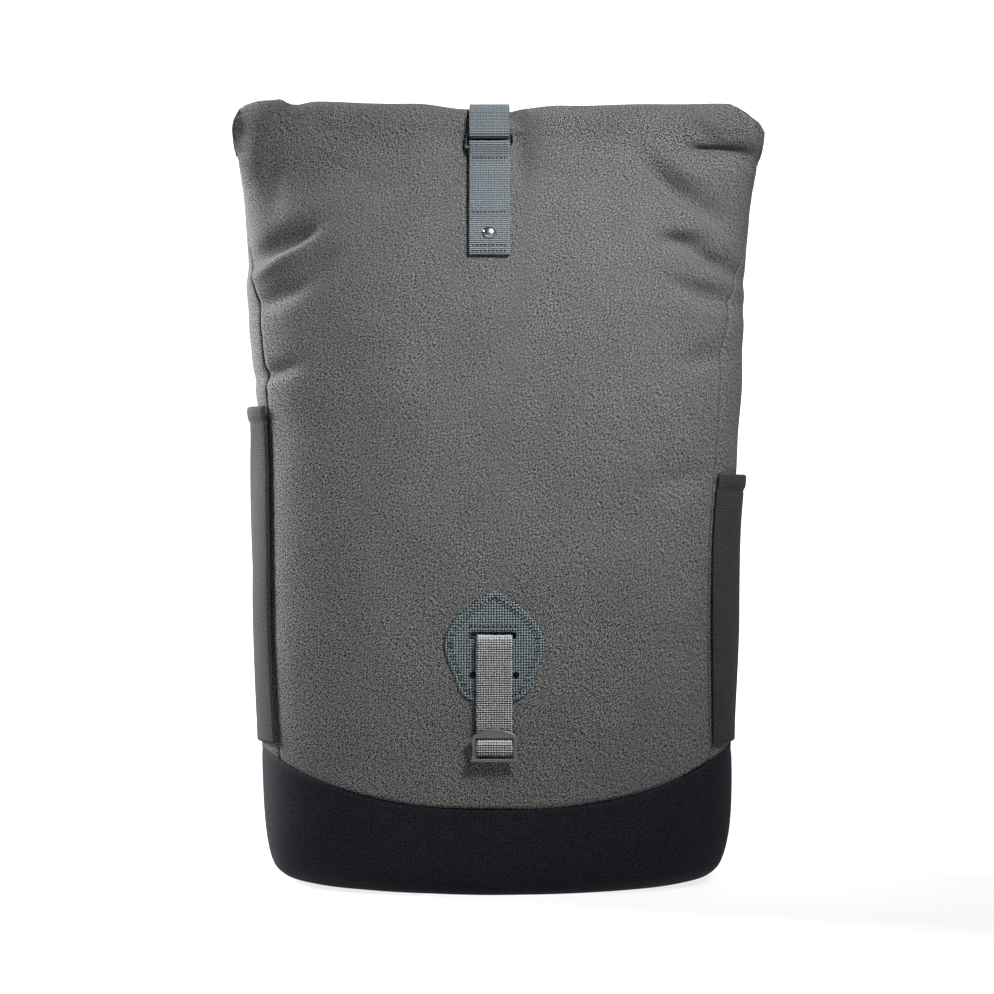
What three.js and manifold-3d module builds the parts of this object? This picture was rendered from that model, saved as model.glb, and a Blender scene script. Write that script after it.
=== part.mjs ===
// A rolltop backpack standing on its base: a hollow cloth bag whose mouth is rolled backwards, held by a
// hooked webbing strap, with a black boot, stretch side pockets, a lash point, a back pad and shoulder
// straps. Millimetres, +Z up. The front faces -Y and the origin is on the floor under the middle of it all.
import * as THREE from "three";
import { mergeVertices } from "three/addons/utils/BufferGeometryUtils.js";
import Module from "manifold-3d";

const wasm = await Module();
wasm.setup();

// The bag
const ROLL_HEIGHT = 465; // height of the rolled mouth's centre line
const HALF_WIDTH = 154; // half the bag's width at its belly
const FRONT_DEPTH = 86; // from the bag's middle plane to its front
const BACK_DEPTH = 68; // from the bag's middle plane to its back
const CLOTH = 1.5;
const GAP = 0.3; // between pieces that touch
const FRONT_ROUND = 3; // superellipse exponent of the front half of a section
const BACK_ROUND = 5; // the same for the flatter back half
const NECK_ROUND = 6; // and where the bag is pressed flat

// The roll
const ROLL_RADIUS = 23;
const ROLL_SETBACK = 18; // its centre line lies this far in front of the middle plane
const ROLL_TURNS = 1.5;
const STEPS_PER_TURN = 12;
const MOUTH_GAP = 1.2; // between the two cloths inside the roll
const TURN_GAP = 0.8; // between one turn and the next
const STRAP_DIP = 2.4; // how far the closing strap presses the roll in
const DIP_HALF = 17; // half the width that it presses flat
const DIP_REACH = 30; // and how far the cloth takes to rise again beside it
const LEFT_EAR_RISE = 4.2; // how far the roll's left end stands up
const RIGHT_EAR_RISE = 1.8; // and its right end

// The boot
const BOOT_FRONT_HEIGHT = 53.5; // height of its top seam at the front's middle
const BOOT_SIDE_HEIGHT = 90; // and at the sides and back
const BOOT_SWEEP = 2.6; // exponent of the curve between them
const BOOT_FLOOR = 1.6;

// Dents and folds
const FOLD_DEPTH = 9;

// Webbing and metal
const WEB = 1.3;
const CLOSING_WIDTH = 25;
const CLOSING_OFFSET = -4.4; // the closing strap sits left of the middle
const HOOK_DROP = 4; // from the roll's centre line down to the middle of the hook that joins the two straps
const HOOK_BAR = 1.7;
const HOOK_WINDOW = 7.6;
const CATCH_DROP = 78; // from the same line down to the catch strap's sewn end
const RIVET_DROP = 63.5; // and to its rivet
const RIVET_RADIUS = 4;
const RIVET_DOME = 2;
const RIVET_SHANK = 1.2;

// The lash point on the front
const LASH_X = -1.2;
const PATCH_WIDTH = 60;
const PATCH_HEIGHT = 66;
const PATCH_BOTTOM = 118.5;
const PATCH_CLOTH = 1.2;
const SLOT_HEIGHT = 157.6; // height of the lash strap where it comes out of its slot
const SLOT_TALL = 2.9;
const SLOT_WIDTH = 25;
const LASH_WIDTH = 21.5;
const SLIDER_TOP = 102;
const SLIDER_HEIGHT = 19.2;
const SLIDER_WIDTH = 29;
const SLIDER_THICK = 2.2;
const SLIDER_SIDE = 3.3;
const SLIDER_HEAD = 5; // height of its arched upper bar
const SLIDER_FOOT = 2; // and of its lower bar
const SLIDER_BAR = 2.4; // width of its hidden middle bar
const STUD_HEIGHT = 135;
const STUD_RADIUS = 1.6;
const STUD_SPREAD = 12.2; // from the lash strap's middle to each stud

// The side pockets: a tall full one on the left as seen from the front, and a lower flat one on the right
const LEFT_POCKET_TOP = 297;
const LEFT_POCKET_BULGE = 5.2;
const RIGHT_POCKET_TOP = 255;
const RIGHT_POCKET_BULGE = 4.8;
const POCKET_CLOTH = 1.2;
const POCKET_CLEAR = 0.9; // between it and the side panel at its edges

// The back
const PAD_THICK = 11;
const PAD_BOTTOM = 112;
const PAD_DROP = 113; // from the roll's centre line down to its top
const PAD_HALF_WIDTH = 112;
const STRAP_WIDTH = 62;
const STRAP_THICK = 10;
const STRAP_DROP = 104; // from the same line down to where the shoulder straps leave the back
const STRAP_END = 182; // height where their padding ends
const STRAP_REACH = 46; // how far they stand behind the back
const STRAP_SPREAD = 44; // from the middle to each strap at the top
const ANCHOR_SPREAD = 118; // and to each anchor tab at the bottom
const ANCHOR_HEIGHT = 98;
const TAIL_LENGTH = 70;
const TAIL_WIDTH = 20;
const ADJUSTER_WIDTH = 31;
const ADJUSTER_HEIGHT = 20;
const ADJUSTER_THICK = 3.2;
const ADJUSTER_BAR = 4;
const HAUL_SPREAD = 34;
const HAUL_DROP = 91; // from the roll's centre line down to the haul loop's lower edge
const HAUL_WIDTH = 20;
const HAUL_REACH = 30;

const PAIR = 2 * CLOTH + MOUTH_GAP; // thickness of the flattened bag
const PITCH = PAIR + TURN_GAP;
const rollFront = -ROLL_SETBACK - ROLL_RADIUS;
const hookHeight = ROLL_HEIGHT - HOOK_DROP;
const catchBottom = ROLL_HEIGHT - CATCH_DROP;
const rivetHeight = ROLL_HEIGHT - RIVET_DROP;
const padTop = ROLL_HEIGHT - PAD_DROP;
const strapStart = ROLL_HEIGHT - STRAP_DROP;
const haulHeight = ROLL_HEIGHT - HAUL_DROP;

// Sections from the floor up to the shoulder. height is a share of ROLL_HEIGHT, forward runs from the roll's
// front at 0 to FRONT_DEPTH at 1, back is a share of BACK_DEPTH, left and right are shares of HALF_WIDTH,
// seam and hem are the angles in degrees of the front seam and the back seam, and round is the exponent of
// the front half where it isn't FRONT_ROUND.
const BODY_SECTIONS = [
  { height: 0.0, forward: 0.68, back: 0.8, left: 0.8, right: 0.8, seam: 53.5, hem: 135, round: 1.8 },
  { height: 0.0085, forward: 0.79, back: 0.89, left: 0.87, right: 0.87, seam: 53.5, hem: 135, round: 2.05 },
  { height: 0.028, forward: 0.88, back: 0.94, left: 0.915, right: 0.92, seam: 53.5, hem: 135, round: 2.35 },
  { height: 0.071, forward: 0.93, back: 0.965, left: 0.94, right: 0.95, seam: 53.5, hem: 135, round: 2.7 },
  { height: 0.135, forward: 0.97, back: 0.985, left: 0.952, right: 0.958, seam: 53.5, hem: 135, round: 2.85 },
  { height: 0.22, forward: 1.0, back: 0.995, left: 0.956, right: 0.95, seam: 53.5, hem: 135 },
  { height: 0.34, forward: 1.0, back: 1.0, left: 0.953, right: 0.944, seam: 53.5, hem: 135 },
  { height: 0.47, forward: 1.0, back: 1.0, left: 0.951, right: 0.953, seam: 53.5, hem: 135 },
  { height: 0.59, forward: 0.98, back: 1.0, left: 0.957, right: 0.985, seam: 53.5, hem: 135 },
  { height: 0.665, forward: 0.95, back: 0.995, left: 0.984, right: 1.0, seam: 53.5, hem: 135 },
  { height: 0.735, forward: 0.9, back: 0.985, left: 1.007, right: 1.007, seam: 55.5, hem: 134 },
  { height: 0.8, forward: 0.81, back: 0.965, left: 1.018, right: 1.014, seam: 61, hem: 132 },
  { height: 0.855, forward: 0.67, back: 0.9, left: 1.019, right: 1.024, seam: 70, hem: 127 },
];

// Sections over the shoulder, where they tilt. front and rear are the heights of their two ends.
const SHOULDER_SECTIONS = [
  { front: 0.9, forward: 0.5, rear: 0.893, back: 0.72, left: 1.027, right: 1.027, seam: 79, hem: 117 },
  { front: 0.934, forward: 0.34, rear: 0.924, back: 0.42, left: 1.034, right: 1.026, seam: 86, hem: 105 },
  { front: 0.955, forward: 0.23, rear: 0.942, back: 0.12, left: 1.042, right: 1.03, seam: 89.4, hem: 91.2 },
];

// Sections where the back cloth runs under the roll. under is the angle round the roll's centre line,
// 270 below it and 180 in front of it, where the bag is flat.
const NECK_SECTIONS = [
  { front: 0.969, forward: 0.15, under: 283, left: 1.052, right: 1.044 },
  { front: 0.978, forward: 0.1, under: 261, left: 1.06, right: 1.054 },
  { front: 0.985, forward: 0.065, under: 240, left: 1.064, right: 1.06 },
  { front: 0.99, forward: 0.04, under: 219, left: 1.067, right: 1.064 },
  { front: 0.995, forward: 0.02, under: 199, left: 1.069, right: 1.066 },
  { front: 1.0, forward: 0.0, under: 180, left: 1.07, right: 1.066 },
];

// Half widths of the roll, as shares of HALF_WIDTH, by the angle turned since the neck.
const ROLL_WIDTHS = [
  { turned: 0, left: 1.07, right: 1.066 },
  { turned: 30, left: 1.063, right: 1.015 },
  { turned: 60, left: 1.045, right: 0.965 },
  { turned: 90, left: 1.01, right: 0.95 },
  { turned: 180, left: 0.99, right: 0.945 },
  { turned: 540, left: 0.96, right: 0.94 },
];

// Folds of the front and sides. x is a share of HALF_WIDTH, height a share of ROLL_HEIGHT, long and broad are
// shares of HALF_WIDTH, turn is the direction in degrees, and deep is a share of FOLD_DEPTH, below zero for
// a ridge.
const FOLDS = [
  { x: -0.934, height: 0.939, long: 0.22, broad: 0.065, turn: 102, deep: 0.6 },
  { x: -0.862, height: 0.852, long: 0.16, broad: 0.05, turn: 30, deep: 0.75 },
  { x: -0.858, height: 0.834, long: 0.18, broad: 0.045, turn: 30, deep: -0.45 },
  { x: -0.83, height: 0.81, long: 0.17, broad: 0.06, turn: 45, deep: 0.45 },
  { x: -0.8, height: 0.69, long: 0.2, broad: 0.08, turn: 12, deep: 0.45 },
  { x: -0.79, height: 0.65, long: 0.2, broad: 0.07, turn: 14, deep: -0.2 },
  { x: 0.914, height: 0.977, long: 0.28, broad: 0.08, turn: -8, deep: 1.1 },
  { x: 0.842, height: 0.95, long: 0.24, broad: 0.05, turn: -54, deep: -0.4 },
  { x: 0.766, height: 0.945, long: 0.26, broad: 0.065, turn: -27, deep: 0.6 },
  { x: 0.8, height: 0.859, long: 0.3, broad: 0.06, turn: -20, deep: 0.8 },
  { x: 0.862, height: 0.8, long: 0.2, broad: 0.055, turn: -22, deep: 0.5 },
  { x: 0.83, height: 0.7, long: 0.16, broad: 0.09, turn: 20, deep: 0.35 },
  { x: 0.7, height: 0.54, long: 0.13, broad: 0.08, turn: 20, deep: 0.3 },
];

// The lash patch's right half from the bottom up: across is a share of half its width and up of its height,
// and each curve leaves the one before it towards its pull point.
const PATCH_CURVES = [
  { across: 0.36, up: 0 },
  { pullAcross: 0.62, pullUp: 0.03, across: 0.7, up: 0.1 },
  { pullAcross: 0.82, pullUp: 0.24, across: 0.93, up: 0.37 },
  { pullAcross: 1.0, pullUp: 0.45, across: 1.0, up: 0.52 },
  { pullAcross: 1.0, pullUp: 0.6, across: 0.88, up: 0.7 },
  { pullAcross: 0.72, pullUp: 0.8, across: 0.42, up: 0.9 },
  { pullAcross: 0.18, pullUp: 0.995, across: 0.0, up: 1.0 },
];

const degrees = Math.PI / 180;
const clamp = (value, low, high) => Math.min(high, Math.max(low, value));
const mix = (a, b, share) => a + (b - a) * share;
const smooth = (share) => share * share * (3 - 2 * share);

function rollArm(turned) {
  const radius = ROLL_RADIUS - (PITCH * turned) / 360;
  const angle = turned * degrees;
  return { radius, y: -Math.cos(angle), z: Math.sin(angle) };
}

// A section's two ends in the side view, its half widths and its seams, from a row of one of the tables.
function sectionOf(row) {
  const frontHeight = row.height ?? row.front;
  const rearHeight = row.height ?? row.rear;
  const section = {
    frontY: mix(rollFront, -FRONT_DEPTH, row.forward),
    frontZ: frontHeight * ROLL_HEIGHT,
    left: row.left * HALF_WIDTH,
    right: row.right * HALF_WIDTH,
    seam: row.seam ?? 90,
    hem: row.hem ?? 90,
    frontRound: row.round ?? FRONT_ROUND,
    backRound: BACK_ROUND,
  };
  if (row.under === undefined) {
    section.backY = row.back * BACK_DEPTH;
    section.backZ = rearHeight * ROLL_HEIGHT;
  } else {
    const around = (row.under - 180) / 90;
    const clear = ROLL_RADIUS - mix(PAIR, 0.75 * PITCH - TURN_GAP, clamp(around, 0, 1));
    section.backY = -ROLL_SETBACK + clear * Math.cos(row.under * degrees);
    section.backZ = ROLL_HEIGHT + clear * Math.sin(row.under * degrees);
    const flat = 1 - clamp(around, 0, 1);
    section.frontRound = mix(FRONT_ROUND, NECK_ROUND, flat);
    section.backRound = mix(BACK_ROUND, NECK_ROUND, flat);
  }
  return section;
}

const SECTIONS = [...BODY_SECTIONS, ...SHOULDER_SECTIONS, ...NECK_SECTIONS].map(sectionOf);
const NECK = SECTIONS.length - 1;
const GUSSET_TIP = BODY_SECTIONS.length + SHOULDER_SECTIONS.length - 1;
const ROLL_STEPS = Math.round(ROLL_TURNS * STEPS_PER_TURN);

// Cubic interpolation through the sections, so that a station may lie between two rows.
function between(a, b, c, d, share) {
  const slopeIn = (c - a) / 2;
  const slopeOut = (d - b) / 2;
  const s2 = share * share;
  const s3 = s2 * share;
  const fromB = (2 * s3 - 3 * s2 + 1) * b + (s3 - 2 * s2 + share) * slopeIn;
  return fromB + (3 * s2 - 2 * s3) * c + (s3 - s2) * slopeOut;
}

function rollWidth(turned, side) {
  const last = ROLL_WIDTHS.length - 1;
  let index = 0;
  while (index < last - 1 && turned > ROLL_WIDTHS[index + 1].turned) index += 1;
  const from = ROLL_WIDTHS[index];
  const to = ROLL_WIDTHS[index + 1];
  const share = clamp((turned - from.turned) / (to.turned - from.turned), 0, 1);
  return mix(from[side], to[side], share) * HALF_WIDTH;
}

// The section at a station: whole stations up to NECK are rows of the tables, and one station past NECK
// is one step of the roll.
function sectionAt(station) {
  if (station > NECK) {
    const turned = ((station - NECK) * 360) / STEPS_PER_TURN;
    const arm = rollArm(turned);
    return {
      frontY: -ROLL_SETBACK + arm.y * arm.radius,
      frontZ: ROLL_HEIGHT + arm.z * arm.radius,
      backY: -ROLL_SETBACK + arm.y * (arm.radius - PAIR),
      backZ: ROLL_HEIGHT + arm.z * (arm.radius - PAIR),
      left: rollWidth(turned, "left"),
      right: rollWidth(turned, "right"),
      seam: 90,
      hem: 90,
      frontRound: NECK_ROUND,
      backRound: NECK_ROUND,
    };
  }
  const low = clamp(Math.floor(station), 0, NECK - 1);
  const rows = [low - 1, low, low + 1, low + 2].map((index) => SECTIONS[clamp(index, 0, NECK)]);
  const section = {};
  for (const key of Object.keys(rows[0])) {
    section[key] = between(rows[0][key], rows[1][key], rows[2][key], rows[3][key], station - low);
  }
  return section;
}

// How far the cloth is pressed in (above zero) at a place on the front or a side.
function foldAt(x, height) {
  let depth = 0;
  for (const fold of FOLDS) {
    const dx = x / HALF_WIDTH - fold.x;
    const dz = (height - fold.height * ROLL_HEIGHT) / HALF_WIDTH;
    const along = dx * Math.cos(fold.turn * degrees) + dz * Math.sin(fold.turn * degrees);
    const across = dz * Math.cos(fold.turn * degrees) - dx * Math.sin(fold.turn * degrees);
    const far = (along / fold.long) ** 2 + (across / fold.broad) ** 2;
    depth += fold.deep * FOLD_DEPTH * Math.exp(-2 * far);
  }
  return depth;
}

function dipAt(x) {
  const away = clamp((Math.abs(x - CLOSING_OFFSET) - DIP_HALF) / DIP_REACH, 0, 1);
  return STRAP_DIP * (1 - smooth(away));
}

function earRise(x) {
  return (x < 0 ? LEFT_EAR_RISE : RIGHT_EAR_RISE) * Math.abs(x / HALF_WIDTH) ** 1.5;
}

// A point of the bag. angle is 0 at the front, 90 at the right and 180 at the back, and out is the distance
// outside the cloth's outer face, so that -CLOTH is its inner face.
function bagPoint(angle, station, out = 0) {
  const section = sectionAt(station);
  const turn = angle * degrees;
  const sin = Math.sin(turn);
  const cos = Math.cos(turn);
  const isFront = cos > 0;
  const round = isFront ? section.frontRound : section.backRound;
  const reach = (Math.abs(sin) ** round + Math.abs(cos) ** round) ** (-1 / round);
  const halfWidth = sin < 0 ? section.left : section.right;
  const middleY = (section.frontY + section.backY) / 2;
  const middleZ = (section.frontZ + section.backZ) / 2;
  const armY = isFront ? section.frontY - middleY : middleY - section.backY;
  const armZ = isFront ? section.frontZ - middleZ : middleZ - section.backZ;
  const half = Math.hypot(armY, armZ);
  const share = cos * reach;
  const plainX = sin * reach * halfWidth;
  const plainZ = middleZ + armZ * share;
  const inRoll = clamp(station - NECK + 3, 0, 3) / 3;
  const fade = isFront ? 1 : clamp(1 + cos * 3, 0, 1);
  const depth = station > NECK ? 0 : foldAt(plainX, plainZ) * clamp((NECK + 2 - station) / 3, 0, 1);
  const moved = out - depth * fade * clamp(half / 12, 0.15, 1);
  const dip = dipAt(plainX) * smooth(inRoll);
  const x = sin * reach * (halfWidth + moved);
  const unitY = armY / half;
  const unitZ = armZ / half;
  const arm = share * (half + moved);
  let y = middleY + unitY * arm;
  let z = middleZ + unitZ * arm;
  if (dip > 0) {
    const toCentreY = -ROLL_SETBACK - y;
    const toCentreZ = ROLL_HEIGHT - z;
    const far = Math.hypot(toCentreY, toCentreZ);
    y += (toCentreY / far) * dip;
    z += (toCentreZ / far) * dip;
  }
  return new THREE.Vector3(x, y, z + earRise(plainX) * smooth(inRoll));
}

function stationOfHeight(height) {
  let low = 0;
  let high = BODY_SECTIONS.length - 1;
  while (high - low > 1e-5) {
    const middle = (low + high) / 2;
    if (sectionAt(middle).frontZ < height) low = middle;
    else high = middle;
  }
  return low;
}

// Half of GAP as an angle of the section, so that two pieces keep GAP between them at a seam.
function halfGap(angle, station) {
  const step = 0.5;
  const speed = bagPoint(angle + step, station).distanceTo(bagPoint(angle - step, station)) / (2 * step);
  return GAP / 2 / speed;
}

// Height of the boot's top seam at an angle.
function bootSeam(angle) {
  if (Math.cos(angle * degrees) < 0) return BOOT_SIDE_HEIGHT;
  const across = Math.abs(bagPoint(angle, 4).x) / sectionAt(4).right;
  return mix(BOOT_FRONT_HEIGHT, BOOT_SIDE_HEIGHT, clamp(across, 0, 1) ** BOOT_SWEEP);
}

// A closed solid between two grids of points, outer first. Rows run up the bag and columns round it.
function gridSolid(outer, inner, closedRound = false) {
  const rows = outer.length;
  const columns = outer[0].length;
  const positions = [];
  const faces = [];
  for (const point of [outer, inner].flat(2)) positions.push(point.x, point.y, point.z);
  const at = (layer, j, i) => layer * rows * columns + j * columns + (i % columns);
  const quad = (a, b, c, d) => faces.push(a, b, c, a, c, d);
  const spans = closedRound ? columns : columns - 1;
  for (let j = 0; j < rows - 1; j += 1) {
    for (let i = 0; i < spans; i += 1) {
      quad(at(0, j, i), at(0, j, i + 1), at(0, j + 1, i + 1), at(0, j + 1, i));
      quad(at(1, j, i), at(1, j + 1, i), at(1, j + 1, i + 1), at(1, j, i + 1));
    }
  }
  for (let i = 0; i < spans; i += 1) {
    quad(at(1, 0, i), at(1, 0, i + 1), at(0, 0, i + 1), at(0, 0, i));
    quad(at(0, rows - 1, i), at(0, rows - 1, i + 1), at(1, rows - 1, i + 1), at(1, rows - 1, i));
  }
  if (!closedRound) {
    for (let j = 0; j < rows - 1; j += 1) {
      quad(at(0, j, 0), at(0, j + 1, 0), at(1, j + 1, 0), at(1, j, 0));
      const last = columns - 1;
      quad(at(1, j, last), at(1, j + 1, last), at(0, j + 1, last), at(0, j, last));
    }
  }
  return geometryOf(positions, faces);
}

function geometryOf(positions, faces) {
  const geometry = new THREE.BufferGeometry();
  geometry.setAttribute("position", new THREE.Float32BufferAttribute(positions, 3));
  geometry.setIndex(faces);
  geometry.computeVertexNormals();
  return geometry;
}

function solidOf(geometry) {
  const plain = geometry.clone();
  plain.deleteAttribute("normal");
  plain.deleteAttribute("uv");
  const merged = mergeVertices(plain, 1e-4);
  return new wasm.Manifold(
    new wasm.Mesh({
      numProp: 3,
      vertProperties: new Float32Array(merged.attributes.position.array),
      triVerts: new Uint32Array(merged.index.array),
    }),
  );
}

function geometryFrom(solid) {
  const mesh = solid.getMesh();
  return geometryOf(Array.from(mesh.vertProperties), Array.from(mesh.triVerts));
}

function boxSolid(low, high) {
  const size = new THREE.Vector3().subVectors(high, low);
  const geometry = new THREE.BoxGeometry(size.x, size.y, size.z);
  geometry.translate((low.x + high.x) / 2, (low.y + high.y) / 2, (low.z + high.z) / 2);
  return solidOf(geometry);
}

// The stations of a panel's rows from the boot's seam up to its last station.
function rowsAbove(angle, last) {
  const first = stationOfHeight(bootSeam(angle) + GAP / 2);
  const rows = [first, (first + 6) / 2];
  for (let station = 6; station < last; station += 1) rows.push(station);
  return [...rows, last];
}

// The stations of the rows of a cloth in the roll.
function rowsRound() {
  const rows = [NECK + HALF_GAP_STEP];
  for (let step = 1; step <= ROLL_STEPS; step += 1) rows.push(NECK + step);
  return rows;
}

const FRONT_COLUMNS = 20;
const SIDE_COLUMNS = 6;
const CROWDING = 1.4; // how much closer together the columns of a wide panel stand towards its middle
// Half of GAP as a share of a roll's step.
const HALF_GAP_STEP = (GAP / 2) * (STEPS_PER_TURN / (2 * Math.PI * ROLL_RADIUS));

function crowded(share, crowding) {
  const side = 2 * share - 1;
  return 0.5 + 0.5 * Math.sign(side) * Math.abs(side) ** crowding;
}

// A cloth panel between two seams. rowsAt(angle) gives the stations of its rows where a column starts, and
// edge(station) its two angles, before the gap is taken off.
function panelGrid(columns, rowsAt, edge, out) {
  const lowest = edge(4);
  const crowding = columns === FRONT_COLUMNS ? CROWDING : 1;
  const count = rowsAt(lowest[0]).length;
  const grid = [];
  for (let j = 0; j < count; j += 1) {
    const row = [];
    for (let i = 0; i <= columns; i += 1) {
      const share = crowded(i / columns, crowding);
      const start = mix(lowest[0], lowest[1], share);
      const station = rowsAt(start)[j];
      const [from, to] = edge(station);
      const open = from + halfGap(from, station);
      const shut = to - halfGap(to, station);
      row.push(bagPoint(mix(open, shut, share), station, out));
    }
    grid.push(row);
  }
  return grid;
}

function clothPanel(columns, rowsAt, edge) {
  return gridSolid(panelGrid(columns, rowsAt, edge, 0), panelGrid(columns, rowsAt, edge, -CLOTH));
}

const seamAt = (station) => sectionAt(station).seam;
const hemAt = (station) => (station > GUSSET_TIP ? seamAt(station) : sectionAt(station).hem);

const frontEdges = (station) => [-seamAt(station), seamAt(station)];
const backEdges = (station) => [hemAt(station), 360 - hemAt(station)];
const rightEdges = (station) => [seamAt(station), hemAt(station)];
const leftEdges = (station) => [360 - hemAt(station), 360 - seamAt(station)];
const toNeck = (angle) => rowsAbove(angle, NECK - HALF_GAP_STEP);
const toTip = (angle) => rowsAbove(angle, GUSSET_TIP);

// The boot: a cup with a flat floor, whose columns match those of the panels above it.
function boot() {
  const seam = seamAt(4);
  const hem = hemAt(4);
  const spans = [
    [-seam, seam, FRONT_COLUMNS],
    [seam, hem, SIDE_COLUMNS],
    [hem, 360 - hem, FRONT_COLUMNS],
    [360 - hem, 360 - seam, SIDE_COLUMNS],
  ];
  const angles = spans.flatMap(([from, to, count]) => {
    const crowding = count === FRONT_COLUMNS ? CROWDING : 1;
    return Array.from({ length: count }, (_, index) => mix(from, to, crowded(index / count, crowding)));
  });
  const ring = (row, out, lift) =>
    angles.map((angle) => {
      const top = stationOfHeight(bootSeam(angle) - GAP / 2);
      const station = row < 3 ? row : mix(2, top, (row - 2) / 3);
      const point = bagPoint(angle, station, out);
      point.z += lift;
      return point;
    });
  const outer = [0, 1, 2, 3, 4, 5].map((row) => ring(row, 0, 0));
  const lifts = [BOOT_FLOOR, CLOTH / 2, 0, 0, 0, 0];
  const inner = lifts.map((lift, row) => ring(row, -CLOTH, lift));
  const shrink = (points, share) =>
    points.map((p) => new THREE.Vector3(p.x * share, mix(outer[0][0].y * 0.1, p.y, share), p.z));
  const floorOuter = [0.03, 0.55].map((share) => shrink(outer[0], share));
  const floorInner = [0.03, 0.55].map((share) => shrink(inner[0], share));
  const cup = gridSolid([...floorOuter, ...outer], [...floorInner, ...inner], true);
  const middle = outer[0][0].y * 0.1;
  const plugReach = 12;
  const plug = boxSolid(
    new THREE.Vector3(-plugReach, middle - plugReach, 0),
    new THREE.Vector3(plugReach, middle + plugReach, BOOT_FLOOR),
  );
  return geometryFrom(solidOf(cup).add(plug));
}

// A layer that follows the front panel's facets, from one distance outside it to another, cut to an outline.
function frontLayer(from, to, cutter) {
  const faces = [to, from].map((out) => panelGrid(FRONT_COLUMNS, toNeck, frontEdges, out));
  return solidOf(gridSolid(...faces)).intersect(cutter);
}

// An outline in the front view, as a prism that runs from the middle plane out past the front.
function frontPrism(shape, curveSteps = 6) {
  const length = 2 * FRONT_DEPTH;
  const options = { depth: length, bevelEnabled: false, curveSegments: curveSteps };
  const geometry = new THREE.ExtrudeGeometry(shape, options);
  geometry.rotateX(Math.PI / 2);
  return solidOf(geometry);
}

function rectangle(left, right, bottom, top) {
  const shape = new THREE.Shape();
  shape.moveTo(left, bottom);
  shape.lineTo(right, bottom);
  shape.lineTo(right, top);
  shape.lineTo(left, top);
  shape.closePath();
  return shape;
}

// A webbing strap whose middle line is drawn in the side view (x is -Y, y is Z), at a place across the bag.
function ribbon(points, thickness, width, x) {
  const sides = [1, -1].map((side) => shifted(points, (side * thickness) / 2));
  const shape = new THREE.Shape([...sides[0], ...sides[1].reverse()]);
  const geometry = new THREE.ExtrudeGeometry(shape, { depth: width, bevelEnabled: false });
  geometry.translate(0, 0, x - width / 2);
  return turned(geometry, [0, -1, 0], [0, 0, 1], [1, 0, 0]);
}

// The same geometry with its three axes laid along three others, still facing outwards.
function turned(geometry, x, y, z) {
  const basis = new THREE.Matrix4().makeBasis(...[x, y, z].map((axis) => new THREE.Vector3(...axis)));
  geometry.applyMatrix4(basis);
  return basis.determinant() < 0 ? flipped(geometry) : geometry;
}

function flipped(geometry) {
  const plain = geometry.index ? geometry.toNonIndexed() : geometry;
  const array = plain.attributes.position.array;
  for (let i = 0; i < array.length; i += 9) {
    for (let k = 0; k < 3; k += 1) {
      [array[i + 3 + k], array[i + 6 + k]] = [array[i + 6 + k], array[i + 3 + k]];
    }
  }
  return plain;
}

// Points of the side view: an arc from one angle to another round a centre.
function arcPoints(centre, radius, from, to, steps) {
  return Array.from({ length: steps + 1 }, (_, index) => {
    const angle = mix(from, to, index / steps) * degrees;
    return new THREE.Vector2(centre.x + radius * Math.cos(angle), centre.y + radius * Math.sin(angle));
  });
}

const sideView = (point) => new THREE.Vector2(-point.y, point.z);

// The cloth's outer face at a place across the bag, as points of the side view at the panel's own rows.
function profileAt(x, first, last, isFront = true) {
  const points = [];
  for (let station = first; station <= last; station += 1) {
    const turn = Math.atan(x / sectionAt(station).right) / degrees;
    points.push(sideView(bagPoint(isFront ? turn : 180 - turn, station)));
  }
  return points;
}

const LOWEST_ROW = 6;

// A line of the side view moved sideways to its left, each stretch of it by the same distance.
function shifted(points, distance) {
  return points.map((point, index) => {
    const before = points[Math.max(0, index - 1)];
    const after = points[Math.min(points.length - 1, index + 1)];
    const a = point.clone().sub(before);
    const b = after.clone().sub(point);
    const way = a.clone().normalize().add(b.clone().normalize()).normalize();
    const isInside = a.lengthSq() > 0 && b.lengthSq() > 0;
    const bend = isInside ? Math.acos(clamp(a.dot(b) / a.length() / b.length(), -1, 1)) : 0;
    const reach = distance / Math.cos(bend / 2);
    return new THREE.Vector2(point.x - way.y * reach, point.y + way.x * reach);
  });
}

// How far the cloth stands from the middle plane at a height, measured on its facets, and its lean there.
function facetAt(height, x, isFront = true) {
  const points = profileAt(x, LOWEST_ROW - 2, isFront ? NECK : GUSSET_TIP, isFront);
  let index = 0;
  while (index < points.length - 2 && points[index + 1].y < height) index += 1;
  const from = points[index];
  const to = points[index + 1];
  const share = (height - from.y) / (to.y - from.y);
  const lean = Math.atan2(from.x - to.x, to.y - from.y);
  return { reach: mix(from.x, to.x, share) * (isFront ? 1 : -1), lean };
}

const frontReach = (height, x) => facetAt(height, x).reach;
const backReach = (height, x) => facetAt(height, x, false).reach;

// Middle of the hook in the side view, clear of the cloth by the eye of the catch strap, and its two bars.
const barOffset = HOOK_WINDOW / 2 + HOOK_BAR / 2;
const eyeRadius = HOOK_BAR * Math.SQRT1_2 + GAP + WEB / 2 + 0.1;
const hookFace = facetAt(hookHeight, CLOSING_OFFSET);
const hookOut = hookFace.reach + (eyeRadius + WEB / 2 + 3 * GAP) / Math.cos(hookFace.lean);
const hookSide = new THREE.Vector2(hookOut, hookHeight);
const hookLean = hookFace.lean;
const hookBar = (side) =>
  new THREE.Vector2(
    hookSide.x - side * barOffset * Math.sin(hookLean),
    hookSide.y + side * barOffset * Math.cos(hookLean),
  );

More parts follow.
